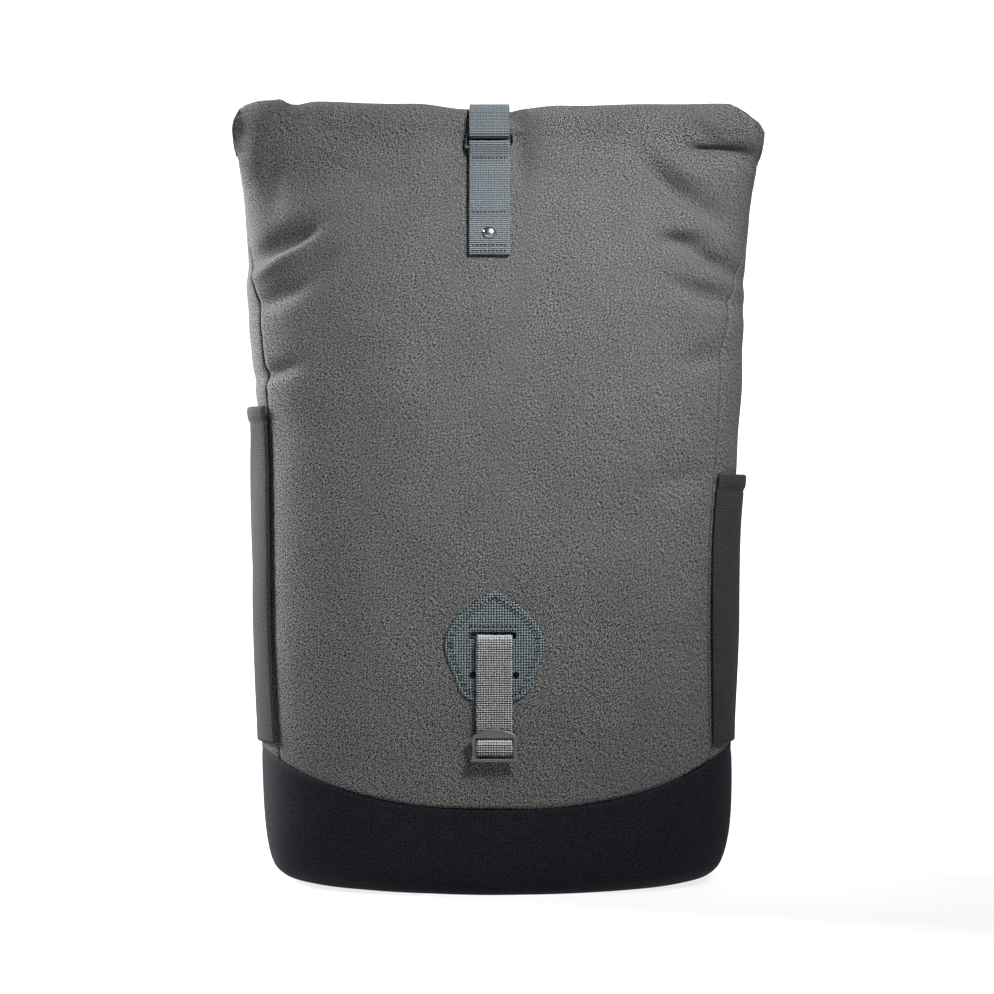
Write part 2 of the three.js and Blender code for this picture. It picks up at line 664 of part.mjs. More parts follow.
// The closing strap: one layer from the back over the roll to the hook, round its upper bar, and back over
// the top.
function closingStrap() {
  const low = GAP + WEB / 2;
  const high = low + WEB + GAP;
  const over = profileAt(CLOSING_OFFSET, NECK, NECK + 5);
  const inner = shifted(over, -low).slice(1);
  const outer = shifted(over, -high).slice(1, 4);
  const rear = shifted(profileAt(CLOSING_OFFSET, 10, 14, false), low).slice(1);
  const lean = hookLean / degrees + 8;
  const eyePoints = arcPoints(hookBar(1), eyeRadius, 180 + lean, 360 + lean, 6);
  return ribbon([...rear, ...inner.reverse(), ...eyePoints, ...outer], WEB, CLOSING_WIDTH, CLOSING_OFFSET);
}

const rivetLean = facetAt(rivetHeight, CLOSING_OFFSET).lean;

// The catch strap: two layers sewn to the front, whose fold holds the hook's lower bar.
function catchStrap() {
  const eye = hookBar(-1);
  const low = GAP + WEB / 2;
  const high = low + WEB + GAP;
  const rows = profileAt(CLOSING_OFFSET, LOWEST_ROW, NECK);
  const foot = new THREE.Vector2(frontReach(catchBottom, CLOSING_OFFSET), catchBottom);
  const line = [foot, ...rows.filter((point) => point.y > catchBottom + 2)];
  const run = (out) => shifted(line, -out).filter((point) => point.y < eye.y - 10);
  const lean = hookLean / degrees;
  const eyePoints = arcPoints(eye, eyeRadius, 180 + lean, lean - 15, 6);
  const path = [...run(low), ...eyePoints, ...run(high).reverse()];
  const strap = ribbon(path, WEB, CLOSING_WIDTH, CLOSING_OFFSET);
  const shank = new THREE.CylinderGeometry(RIVET_SHANK + GAP, RIVET_SHANK + GAP, 30, 12);
  shank.rotateX(-rivetLean);
  shank.translate(CLOSING_OFFSET, -frontReach(rivetHeight, CLOSING_OFFSET), rivetHeight);
  return geometryFrom(solidOf(strap).subtract(solidOf(shank)));
}

function closureHook() {
  const halfWide = CLOSING_WIDTH / 2 + GAP;
  const outer = rectangle(
    -halfWide - HOOK_BAR,
    halfWide + HOOK_BAR,
    -HOOK_WINDOW / 2 - HOOK_BAR,
    HOOK_WINDOW / 2 + HOOK_BAR,
  );
  outer.holes.push(rectangle(-halfWide, halfWide, -HOOK_WINDOW / 2, HOOK_WINDOW / 2));
  const geometry = new THREE.ExtrudeGeometry(outer, { depth: HOOK_BAR, bevelEnabled: false });
  geometry.translate(0, 0, -HOOK_BAR / 2);
  geometry.rotateX(Math.PI / 2 - hookLean);
  return geometry;
}

function rivet() {
  const base = 2 * WEB + 3 * GAP;
  const points = [
    [0, GAP],
    [RIVET_SHANK, GAP],
    [RIVET_SHANK, base],
    [RIVET_RADIUS, base],
    [RIVET_RADIUS * 0.94, base + RIVET_DOME * 0.45],
    [RIVET_RADIUS * 0.62, base + RIVET_DOME * 0.85],
    [0, base + RIVET_DOME],
  ].map(([radius, height]) => new THREE.Vector2(radius, height));
  const geometry = new THREE.LatheGeometry(points, 12);
  geometry.rotateX(Math.PI - rivetLean);
  return geometry;
}

// The patch: a shield cut from a layer over the front, with the strap's slot and two stud holes.
function patchShape() {
  const place = (across, up) => [LASH_X + (across * PATCH_WIDTH) / 2, PATCH_BOTTOM + up * PATCH_HEIGHT];
  const shape = new THREE.Shape();
  shape.moveTo(...place(-PATCH_CURVES[0].across, PATCH_CURVES[0].up));
  shape.lineTo(...place(PATCH_CURVES[0].across, PATCH_CURVES[0].up));
  for (const curve of PATCH_CURVES.slice(1)) {
    shape.quadraticCurveTo(...place(curve.pullAcross, curve.pullUp), ...place(curve.across, curve.up));
  }
  for (let index = PATCH_CURVES.length - 1; index > 0; index -= 1) {
    const { pullAcross, pullUp } = PATCH_CURVES[index];
    const { across, up } = PATCH_CURVES[index - 1];
    shape.quadraticCurveTo(...place(-pullAcross, pullUp), ...place(-across, up));
  }
  return shape;
}

function hookPatch() {
  const shape = patchShape();
  const slotHalf = SLOT_WIDTH / 2;
  const slotFoot = SLOT_HEIGHT - WEB / 2 - GAP;
  shape.holes.push(rectangle(LASH_X - slotHalf, LASH_X + slotHalf, slotFoot, slotFoot + SLOT_TALL));
  for (const side of [-1, 1]) {
    const hole = new THREE.Path();
    hole.absarc(LASH_X + side * STUD_SPREAD, STUD_HEIGHT, STUD_RADIUS + GAP, 0, 2 * Math.PI);
    shape.holes.push(hole);
  }
  return geometryFrom(frontLayer(GAP, GAP + PATCH_CLOTH, frontPrism(shape, 5)));
}

function stud(side) {
  const shape = new THREE.Shape();
  shape.absarc(LASH_X + side * STUD_SPREAD, STUD_HEIGHT, STUD_RADIUS, 0, 2 * Math.PI);
  return geometryFrom(frontLayer(GAP, GAP + PATCH_CLOTH + 0.5, frontPrism(shape, 6)));
}

const lashReach = (height) => frontReach(height, LASH_X);
const sliderOut = lashReach(SLIDER_TOP) + GAP + PATCH_CLOTH + WEB + GAP + SLIDER_THICK / 2 + 1.6;
const sliderMiddle = SLIDER_TOP - SLIDER_HEIGHT * 0.56; // height of its hidden middle bar

// The lash strap: out of the slot, down the patch and through the slider over its middle bar.
function lashStrap() {
  const half = SLIDER_THICK / 2 + GAP + WEB / 2;
  const slotReach = lashReach(SLOT_HEIGHT);
  const out = slotReach + GAP + PATCH_CLOTH + GAP + WEB / 2;
  const behind = sliderOut - half;
  const ahead = sliderOut + half;
  const bottom = SLIDER_TOP - SLIDER_HEIGHT;
  const upper = (sliderMiddle + SLIDER_BAR / 2 + SLIDER_TOP - SLIDER_HEAD) / 2;
  const lower = (sliderMiddle - SLIDER_BAR / 2 + bottom + SLIDER_FOOT) / 2;
  const path = [
    new THREE.Vector2(slotReach + GAP, SLOT_HEIGHT),
    new THREE.Vector2(out, SLOT_HEIGHT),
    new THREE.Vector2(out + 2.2, SLOT_HEIGHT - 1.5),
    new THREE.Vector2(out + 3.2, SLOT_HEIGHT - 5),
    new THREE.Vector2(mix(out + 3.2, behind, 0.5), mix(SLOT_HEIGHT, SLIDER_TOP, 0.5)),
    new THREE.Vector2(behind, SLIDER_TOP + 2),
    new THREE.Vector2(behind, upper + 0.8),
    new THREE.Vector2(ahead, upper - 0.7),
    new THREE.Vector2(ahead, lower + 0.7),
    new THREE.Vector2(behind, lower - 0.8),
    new THREE.Vector2(behind, bottom + 0.6),
  ];
  return ribbon(path, WEB, LASH_WIDTH, LASH_X);
}

function slider() {
  const half = SLIDER_WIDTH / 2;
  const bottom = SLIDER_TOP - SLIDER_HEIGHT;
  const shape = new THREE.Shape();
  shape.moveTo(-half, bottom + 1);
  shape.quadraticCurveTo(-half, bottom, -half + 2, bottom);
  shape.quadraticCurveTo(0, bottom - 0.8, half - 2, bottom);
  shape.quadraticCurveTo(half, bottom, half, bottom + 1);
  shape.quadraticCurveTo(half - 2.6, bottom + SLIDER_HEIGHT * 0.4, half, SLIDER_TOP - 4.5);
  shape.quadraticCurveTo(half * 0.72, SLIDER_TOP, 0, SLIDER_TOP);
  shape.quadraticCurveTo(-half * 0.72, SLIDER_TOP, -half, SLIDER_TOP - 4.5);
  shape.quadraticCurveTo(-half + 2.6, bottom + SLIDER_HEIGHT * 0.4, -half, bottom + 1);
  const inside = half - SLIDER_SIDE;
  const middle = sliderMiddle;
  shape.holes.push(rectangle(-inside, inside, bottom + SLIDER_FOOT, middle - SLIDER_BAR / 2));
  shape.holes.push(rectangle(-inside, inside, middle + SLIDER_BAR / 2, SLIDER_TOP - SLIDER_HEAD));
  const options = { depth: SLIDER_THICK, bevelEnabled: false, curveSegments: 5 };
  const geometry = new THREE.ExtrudeGeometry(shape, options);
  geometry.translate(0, 0, -SLIDER_THICK / 2);
  geometry.rotateX(Math.PI / 2);
  return geometry;
}

// A stretch pocket over a side, open at the top, standing off the side panel between its two seams.
function sidePocket(side, top, fullness) {
  const columns = 2 * SIDE_COLUMNS;
  const rows = 6;
  const grids = [POCKET_CLOTH, 0].map((thickness) => {
    const grid = [];
    for (let j = 0; j <= rows; j += 1) {
      const row = [];
      for (let i = 0; i <= columns; i += 1) {
        const share = i / columns;
        const height = mix(BOOT_SIDE_HEIGHT + GAP, top, j / rows);
        const station = stationOfHeight(height);
        const seam = seamAt(station) + halfGap(seamAt(station), station);
        const hem = hemAt(station) - halfGap(hemAt(station), station);
        const [from, to] = side < 0 ? [-hem, -seam] : [seam, hem];
        const rise = clamp(0.25 + (j / rows) * 1.6, 0, 1);
        const bulge = fullness * Math.sin(Math.PI * share) ** 0.55 * smooth(rise);
        row.push(bagPoint(mix(from, to, share), station, POCKET_CLEAR + bulge + thickness));
      }
      grid.push(row);
    }
    return grid;
  });
  return gridSolid(grids[0], grids[1]);
}

// The back pad: a crowned cushion on the back panel.
function backPad() {
  const columns = 12;
  const rows = 9;
  const angleAt = (share) => {
    const across = (mix(1, -1, share) * PAD_HALF_WIDTH) / HALF_WIDTH;
    return 180 - Math.atan(across) / degrees;
  };
  const grids = [1, 0].map((isOuter) => {
    const grid = [];
    for (let j = 0; j <= rows; j += 1) {
      const row = [];
      for (let i = 0; i <= columns; i += 1) {
        const u = (2 * i) / columns - 1;
        const v = (2 * j) / rows - 1;
        const pull = 1 - 0.05 * u * u * (1 - v * v) - 0.1 * (u * v) ** 4;
        const height = mix(PAD_BOTTOM, padTop, 0.5 + 0.5 * v * (1 - 0.04 * (u * u) ** 2));
        const crown = Math.max(0, 1 - u ** 6) ** 0.5 * Math.max(0, 1 - v ** 8) ** 0.5;
        const out = isOuter ? GAP + 2.5 + (PAD_THICK - 2.5) * crown : GAP;
        row.push(bagPoint(angleAt(0.5 + 0.5 * u * pull), stationOfHeight(height), out));
      }
      grid.push(row);
    }
    return grid;
  });
  return gridSolid(grids[0], grids[1]);
}

// A shoulder strap's middle line, from its seam on the back to the end of its padding.
function shoulderLine() {
  const root = backReach(strapStart - STRAP_THICK / 4, STRAP_SPREAD - STRAP_WIDTH / 2) + GAP;
  const padded = backReach((padTop + PAD_BOTTOM) / 2, STRAP_SPREAD);
  const span = strapStart - STRAP_END;
  const far = ANCHOR_SPREAD - STRAP_SPREAD;
  const line = [
    { x: 0, behind: 0, height: 0 },
    { x: 0.0, behind: 0.34, height: -0.016 },
    { x: 0.01, behind: 0.68, height: -0.005 },
    { x: 0.03, behind: 0.93, height: 0.06 },
    { x: 0.07, behind: 1.03, height: 0.2 },
    { x: 0.13, behind: 1.06, height: 0.38 },
    { x: 0.2, behind: 1.03, height: 0.56 },
    { x: 0.29, behind: 0.97, height: 0.75 },
    { x: 0.4, behind: 0.88, height: 0.92 },
    { x: 0.46, behind: 0.84, height: 1 },
  ];
  return line.map((row) => {
    const base = mix(root, padded, clamp(row.height, 0, 1));
    const start = row.behind === 0 ? GAP : STRAP_REACH * row.behind;
    return new THREE.Vector3(STRAP_SPREAD + row.x * far, base + start, strapStart - row.height * span);
  });
}

// A closed sweep of a flat rounded section along a line, its width lying across the back.
function sweep(line, widthAt, thickAt, round, sides) {
  const rings = line.map((point, index) => {
    const before = line[Math.max(0, index - 1)];
    const after = line[Math.min(line.length - 1, index + 1)];
    const along = after.clone().sub(before).normalize();
    const lateral = new THREE.Vector3(1, 0, 0);
    lateral.addScaledVector(along, -lateral.dot(along)).normalize();
    const normal = new THREE.Vector3().crossVectors(lateral, along).normalize();
    const share = index / (line.length - 1);
    return Array.from({ length: sides }, (_, k) => {
      const angle = ((k + 0.5) / sides) * 2 * Math.PI;
      const cos = Math.cos(angle);
      const sin = Math.sin(angle);
      const reach = (Math.abs(cos) ** round + Math.abs(sin) ** round) ** (-1 / round);
      return point
        .clone()
        .addScaledVector(lateral, (cos * reach * widthAt(share)) / 2)
        .addScaledVector(normal, (sin * reach * thickAt(share)) / 2);
    });
  });
  const positions = [];
  const faces = [];
  for (const ring of rings) for (const p of ring) positions.push(p.x, p.y, p.z);
  const at = (j, k) => j * sides + (k % sides);
  for (let j = 0; j < rings.length - 1; j += 1) {
    for (let k = 0; k < sides; k += 1) {
      faces.push(at(j, k), at(j, k + 1), at(j + 1, k + 1), at(j, k), at(j + 1, k + 1), at(j + 1, k));
    }
  }
  const last = rings.length - 1;
  for (let k = 1; k < sides - 1; k += 1) {
    faces.push(at(0, 0), at(0, k + 1), at(0, k));
    faces.push(at(last, 0), at(last, k), at(last, k + 1));
  }
  const geometry = geometryOf(positions, faces);
  return solidOf(geometry).volume() < 0 ? flipped(geometry) : geometry;
}

function shoulderStrap() {
  const widthAt = (share) => STRAP_WIDTH * (1 - 0.3 * smooth(clamp((share - 0.35) / 0.65, 0, 1)));
  const thickAt = (share) => (share < 0.12 ? STRAP_THICK * mix(0.45, 0.9, share / 0.12) : STRAP_THICK);
  return sweep(shoulderLine(), widthAt, thickAt, 4, 14);
}

// The frame of the adjuster below a strap's padding: down along the strap, across it and outwards.
function adjusterFrame() {
  const line = shoulderLine();
  const end = line[line.length - 1];
  const behind = backReach(ANCHOR_HEIGHT, ANCHOR_SPREAD) + 2 * WEB;
  const anchor = new THREE.Vector3(ANCHOR_SPREAD, behind, ANCHOR_HEIGHT);
  const down = anchor.clone().sub(end).normalize();
  const across = new THREE.Vector3(1, 0, 0);
  across.addScaledVector(down, -across.dot(down)).normalize();
  const out = new THREE.Vector3().crossVectors(across, down).normalize();
  if (out.y < 0) out.negate();
  return { end, anchor, down, across, out };
}

function intoAdjusterFrame(geometry, along) {
  const { end, down, across, out } = adjusterFrame();
  const up = down.clone().negate();
  const right = new THREE.Vector3().crossVectors(up, out).normalize();
  const basis = new THREE.Matrix4().makeBasis(right, up, out);
  geometry.applyMatrix4(basis);
  geometry.translate(...end.clone().addScaledVector(down, along));
  return geometry;
}

const adjusterTop = 2.5; // from the end of the padding's middle line to the adjuster

function adjuster() {
  const half = ADJUSTER_WIDTH / 2;
  const shape = rectangle(-half, half, -ADJUSTER_HEIGHT, 0);
  const slotHalf = TAIL_WIDTH / 2 + 2 * GAP;
  const slotBottom = -ADJUSTER_HEIGHT + ADJUSTER_BAR;
  shape.holes.push(rectangle(-slotHalf, slotHalf, slotBottom, slotBottom + 3 * WEB));
  const geometry = new THREE.ExtrudeGeometry(shape, { depth: ADJUSTER_THICK, bevelEnabled: false });
  geometry.translate(0, 0, -ADJUSTER_THICK / 2);
  return intoAdjusterFrame(geometry, adjusterTop);
}

// The adjusting webbing: from the anchor tab up behind the adjuster's bar, through its slot and down again as
// a loose tail.
function adjustingWeb() {
  const { end, anchor } = adjusterFrame();
  const length = anchor.distanceTo(end) - adjusterTop - 12;
  const side = ADJUSTER_THICK / 2 + GAP + WEB / 2;
  const bar = -ADJUSTER_HEIGHT + ADJUSTER_BAR + GAP + WEB / 2;
  const lowest = -Math.min(length, ADJUSTER_HEIGHT + TAIL_LENGTH);
  const points = [
    new THREE.Vector2(side + 1.5, lowest),
    new THREE.Vector2(side + 2.5, -ADJUSTER_HEIGHT - 12),
    new THREE.Vector2(side, -ADJUSTER_HEIGHT - 2),
    new THREE.Vector2(side, bar - 0.3),
    new THREE.Vector2(side - 0.7, bar + 0.2),
    new THREE.Vector2(-side + 0.7, bar + 0.2),
    new THREE.Vector2(-side, bar - 0.3),
    new THREE.Vector2(-side, -ADJUSTER_HEIGHT - 2),
    new THREE.Vector2(-side + 0.6, -length),
  ];
  const web = turned(ribbon(points, WEB, TAIL_WIDTH, 0), [1, 0, 0], [0, 0, -1], [0, 1, 0]);
  return intoAdjusterFrame(web, adjusterTop);
}

// The anchor tab: a cloth triangle sewn to the back above the boot, which holds the webbing's lower end.
function anchorTab() {
  const { end, anchor, down, across, out } = adjusterFrame();
  const length = anchor.distanceTo(end) - adjusterTop - 12;
  const top = end.clone().addScaledVector(down, adjusterTop + length + GAP);
  const behind = ADJUSTER_THICK / 2 + GAP + WEB / 2 - 0.6;
  top.addScaledVector(out, -behind);
  const foot = new THREE.Vector3(ANCHOR_SPREAD - 4, 0, ANCHOR_HEIGHT - 8);
  foot.y = backReach(foot.z, foot.x) + GAP + 2.3;
  const line = [top, top.clone().addScaledVector(down, 9), foot];
  const widthAt = (share) => mix(TAIL_WIDTH, TAIL_WIDTH * 1.5, share);
  return sweep(line, widthAt, () => 2, 8, 8);
}

// The haul loop: webbing that stands out from the back between two sewn feet.
function haulLoop() {
  const tilt = Math.atan2(
    backReach(haulHeight, HAUL_SPREAD) - backReach(haulHeight + HAUL_WIDTH, HAUL_SPREAD),
    HAUL_WIDTH,
  );
  const foot = 12;
  const shape = [];
  for (let index = 0; index <= 10; index += 1) {
    const angle = mix(180, 0, index / 10) * degrees;
    const out = 3 + (HAUL_REACH - 3) * Math.sin(angle) ** 0.8;
    shape.push(new THREE.Vector2(HAUL_SPREAD * Math.cos(angle), out));
  }
  const path = [
    new THREE.Vector2(-HAUL_SPREAD - foot, WEB / 2),
    new THREE.Vector2(-HAUL_SPREAD - 1.5, WEB / 2),
    ...shape,
    new THREE.Vector2(HAUL_SPREAD + 1.5, WEB / 2),
    new THREE.Vector2(HAUL_SPREAD + foot, WEB / 2),
  ];
  const loop = ribbon(path, WEB, HAUL_WIDTH, HAUL_WIDTH / 2);
  return { geometry: turned(loop, [0, 0, 1], [-1, 0, 0], [0, 1, 0]), tilt };
}

const colours = {
  canvas: new THREE.MeshStandardMaterial({ color: 0x6b6c6a, roughness: 0.92, metalness: 0 }),
  boot: new THREE.MeshStandardMaterial({ color: 0x1d1b22, roughness: 0.9, metalness: 0 }),
  stretch: new THREE.MeshStandardMaterial({ color: 0x55555a, roughness: 0.8, metalness: 0 }),
  webbing: new THREE.MeshStandardMaterial({ color: 0x7f878c, roughness: 0.75, metalness: 0 }),
  patch: new THREE.MeshStandardMaterial({ color: 0x55646a, roughness: 0.6, metalness: 0 }),
  metal: new THREE.MeshStandardMaterial({ color: 0x8a8886, roughness: 0.35, metalness: 0.9 }),
  slider: new THREE.MeshStandardMaterial({ color: 0x64615f, roughness: 0.4, metalness: 0.5 }),
  black: new THREE.MeshStandardMaterial({ color: 0x17171a, roughness: 0.5, metalness: 0 }),
  padding: new THREE.MeshStandardMaterial({ color: 0x2b2b2f, roughness: 0.95, metalness: 0 }),
};

const backpack = new THREE.Group();
backpack.name = "rolltop_backpack";

function add(name, geometry, material, place = [0, 0, 0]) {
  const mesh = new THREE.Mesh(geometry, material);
  mesh.name = name;
  mesh.position.set(...place);
  backpack.add(mesh);
  return mesh;
}

function mirrored(geometry) {
  const copy = geometry.clone();
  copy.scale(-1, 1, 1);
  return flipped(copy);
}

add("front_panel", clothPanel(FRONT_COLUMNS, toNeck, frontEdges), colours.canvas);
add("back_panel", clothPanel(FRONT_COLUMNS, toNeck, backEdges), colours.canvas);
add("side_panel_right", clothPanel(SIDE_COLUMNS, toTip, rightEdges), colours.canvas);
add("side_panel_left", clothPanel(SIDE_COLUMNS, toTip, leftEdges), colours.canvas);
add("roll_outer_cloth", clothPanel(FRONT_COLUMNS, rowsRound, frontEdges), colours.canvas);
add("roll_inner_cloth", clothPanel(FRONT_COLUMNS, rowsRound, backEdges), colours.canvas);
add("base_boot", boot(), colours.boot);
add("side_pocket_left", sidePocket(-1, LEFT_POCKET_TOP, LEFT_POCKET_BULGE), colours.stretch);
add("side_pocket_right", sidePocket(1, RIGHT_POCKET_TOP, RIGHT_POCKET_BULGE), colours.stretch);
add("closing_strap", closingStrap(), colours.webbing);
add("closure_hook", closureHook(), colours.metal, [CLOSING_OFFSET, -hookSide.x, hookSide.y]);
add("catch_strap", catchStrap(), colours.webbing);
const rivetRoot = frontReach(rivetHeight, CLOSING_OFFSET);
add("catch_rivet", rivet(), colours.metal, [CLOSING_OFFSET, -rivetRoot, rivetHeight]);
add("lash_patch", hookPatch(), colours.patch);
add("lash_strap", lashStrap(), colours.webbing);
add("lash_slider", slider(), colours.slider, [LASH_X, -sliderOut, 0]);
for (const [side, word] of [[-1, "left"], [1, "right"]]) add(`patch_stud_${word}`, stud(side), colours.black);
add("back_pad", backPad(), colours.padding);
const haul = haulLoop();
const haulMesh = add("haul_loop", haul.geometry, colours.webbing, [
  0,
  backReach(haulHeight, HAUL_SPREAD) + GAP,
  haulHeight,
]);
haulMesh.rotation.x = haul.tilt;
const backPieces = [
  ["shoulder_strap", shoulderStrap(), colours.padding],
  ["strap_adjuster", adjuster(), colours.black],
  ["adjusting_web", adjustingWeb(), colours.webbing],
  ["anchor_tab", anchorTab(), colours.boot],
];
for (const [name, geometry, material] of backPieces) {
  add(`${name}_right`, geometry, material);
  add(`${name}_left`, mirrored(geometry), material);
}

// The origin goes under the middle of everything.
const middle = new THREE.Box3().setFromObject(backpack).getCenter(new THREE.Vector3());
for (const mesh of backpack.children) {
  mesh.position.x -= middle.x;
  mesh.position.y -= middle.y;
}

export default backpack;
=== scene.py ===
"""A rolltop backpack: its cloth, webbing, buckles and padding, lit as in a plain studio."""

import math

import bmesh
import bpy
import numpy as np
from mathutils import Matrix, Vector


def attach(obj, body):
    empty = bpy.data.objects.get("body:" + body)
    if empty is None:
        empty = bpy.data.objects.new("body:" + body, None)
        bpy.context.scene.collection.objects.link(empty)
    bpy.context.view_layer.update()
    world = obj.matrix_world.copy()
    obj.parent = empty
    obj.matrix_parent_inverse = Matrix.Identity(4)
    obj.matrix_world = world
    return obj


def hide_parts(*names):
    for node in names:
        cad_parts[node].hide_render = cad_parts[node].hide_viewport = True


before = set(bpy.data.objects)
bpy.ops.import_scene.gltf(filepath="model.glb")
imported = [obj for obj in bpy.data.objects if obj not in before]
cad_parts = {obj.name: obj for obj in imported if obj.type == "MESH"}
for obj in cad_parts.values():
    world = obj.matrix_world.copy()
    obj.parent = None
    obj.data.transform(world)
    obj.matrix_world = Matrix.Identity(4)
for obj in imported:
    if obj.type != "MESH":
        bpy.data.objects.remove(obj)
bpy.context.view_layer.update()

# ---- The bag's numbers, in millimetres ----
ROLL_HEIGHT = 465
HALF_WIDTH = 154
FRONT_DEPTH = 86
BACK_DEPTH = 68
BOOT_FRONT, BOOT_SIDE = 53.5, 90  # heights of the boot's seam
CLOTH = 1.5
GAP = 0.3  # air between pieces that lie on each other
ROLL_RADIUS = 23
ROLL_SETBACK = 18  # the roll's middle line behind x = 0
TURNED_STEP = 30  # degrees of the roll between stations
MOUTH_PAIR = 4.2  # outer to inner cloth in the roll
ROLL_PITCH = 5.0  # what a whole turn takes off the roll's radius
ROLL_FRONT = -ROLL_SETBACK - ROLL_RADIUS
FOLD_DEPTH = 9
STRAP_PINCH = 2.4  # how far the closing strap presses the roll in
EAR_RISE = (4.2, 1.8)  # how far the roll's left and right ends rise
CLOSING_X = -4.4
WEB, WEB_WIDTH = 1.3, 25

# Heights are shares of the roll's height, forward and back of the two depths, left and right of the half
# width. Seam and hem are degrees round the bag, and round says how square its section is.
# height, forward, back, left, right, seam, hem, round
BODY = (
    (0.0, 0.68, 0.8, 0.8, 0.8, 53.5, 135, 1.8),
    (0.0085, 0.79, 0.89, 0.87, 0.87, 53.5, 135, 2.05),
    (0.028, 0.88, 0.94, 0.915, 0.92, 53.5, 135, 2.35),
    (0.071, 0.93, 0.965, 0.94, 0.95, 53.5, 135, 2.7),
    (0.135, 0.97, 0.985, 0.952, 0.958, 53.5, 135, 2.85),
    (0.22, 1.0, 0.995, 0.956, 0.95, 53.5, 135, 3),
    (0.34, 1.0, 1.0, 0.953, 0.944, 53.5, 135, 3),
    (0.47, 1.0, 1.0, 0.951, 0.953, 53.5, 135, 3),
    (0.59, 0.98, 1.0, 0.957, 0.985, 53.5, 135, 3),
    (0.665, 0.95, 0.995, 0.984, 1.0, 53.5, 135, 3),
    (0.735, 0.9, 0.985, 1.007, 1.007, 55.5, 134, 3),
    (0.8, 0.81, 0.965, 1.018, 1.014, 61, 132, 3),
    (0.855, 0.67, 0.9, 1.019, 1.024, 70, 127, 3),
)
# front, forward, rear, back, left, right, seam, hem
SHOULDER = (
    (0.9, 0.5, 0.893, 0.72, 1.027, 1.034, 79, 117),
    (0.934, 0.34, 0.924, 0.42, 1.034, 1.044, 86, 105),
    (0.955, 0.23, 0.942, 0.12, 1.042, 1.053, 89.4, 91.2),
)
# front, forward, under, left, right
NECK_ROWS = (
    (0.969, 0.15, 283, 1.05, 1.057),
    (0.978, 0.1, 261, 1.056, 1.061),
    (0.985, 0.065, 240, 1.061, 1.067),
    (0.99, 0.04, 219, 1.065, 1.073),
    (0.995, 0.02, 199, 1.068, 1.078),
    (1.0, 0.0, 180, 1.07, 1.081),
)
ROLL_WIDTHS = (  # degrees turned, left, right
    (0.0, 1.07, 1.081),
    (15, 1.068, 1.062),
    (30, 1.063, 1.025),
    (60, 1.045, 0.965),
    (90, 1.01, 0.95),
    (180, 0.99, 0.945),
    (540, 0.96, 0.94),
)
# x and height (shares of the half width and the roll's height), length, breadth, turn, depth, below 0 a ridge
FOLDS = (
    (-0.91, 0.949, 0.26, 0.07, 94, 0.3),
    (-0.829, 0.857, 0.17, 0.06, 27, 0.9),
    (-0.857, 0.83, 0.18, 0.045, 29, -0.5),
    (-0.71, 0.825, 0.13, 0.05, 22, 0.35),
    (-0.841, 0.788, 0.17, 0.06, 25, 0.6),
    (-0.88, 0.683, 0.14, 0.045, 12, 0.4),
    (0.74, 0.929, 0.25, 0.055, -39, 1.2),
    (0.742, 0.854, 0.13, 0.05, -4, 0.75),
    (0.868, 0.831, 0.16, 0.05, -30, 0.85),
    (0.83, 0.785, 0.2, 0.06, -15, 0.6),
    (0.83, 0.7, 0.16, 0.08, 20, 0.4),
    (0.72, 0.54, 0.15, 0.07, 16, 0.3),
)
# The same for dents of the whole roll, towards its middle line.
ROLL_FOLDS = (
    (0.83, 0.962, 0.14, 0.08, -42, 1.3),
    (0.93, 0.958, 0.13, 0.115, 4, 1.35),
    (0.93, 0.945, 0.16, 0.04, 0, -0.2),
    (0.84, 1.0, 0.1, 0.045, -45, 0.35),
    (-1.06, 0.98, 0.34, 0.1, 90, 1.0),
    (-0.83, 1.03, 0.11, 0.02, -40, -0.35),
    (-0.78, 1.03, 0.13, 0.05, -40, 0.5),
    (0.1, 0.975, 0.14, 0.06, -68, 0.8),
    (0.13, 1.006, 0.16, 0.02, 0, -0.22),
    (0.08, 1.03, 0.09, 0.045, -50, 0.5),
    (-0.15, 1.02, 0.12, 0.035, 28, 0.35),
    (-0.17, 0.995, 0.12, 0.04, 55, 0.35),
)
# Degrees by which the left seam lies further round than the right one, at stations 4 to 12.
LEFT_SEAM_TURN = (0, 2.2, 5, 6.2, 6.4, 5.3, 3, 0.8, 0)
NECK = len(BODY) + len(SHOULDER) + len(NECK_ROWS) - 1
GUSSET_TIP = len(BODY) + len(SHOULDER) - 1
ROLL_END = NECK + 18
FRONT_Y, FRONT_Z, BACK_Y, BACK_Z, LEFT, RIGHT, SEAM, HEM, FRONT_ROUND, BACK_ROUND = range(10)


def mix(a, b, share):
    return a + (b - a) * share


def smooth(share):
    share = np.clip(share, 0, 1)
    return share * share * (3 - 2 * share)


def bell(distance, breadth):
    return np.exp(-((distance / breadth) ** 2))


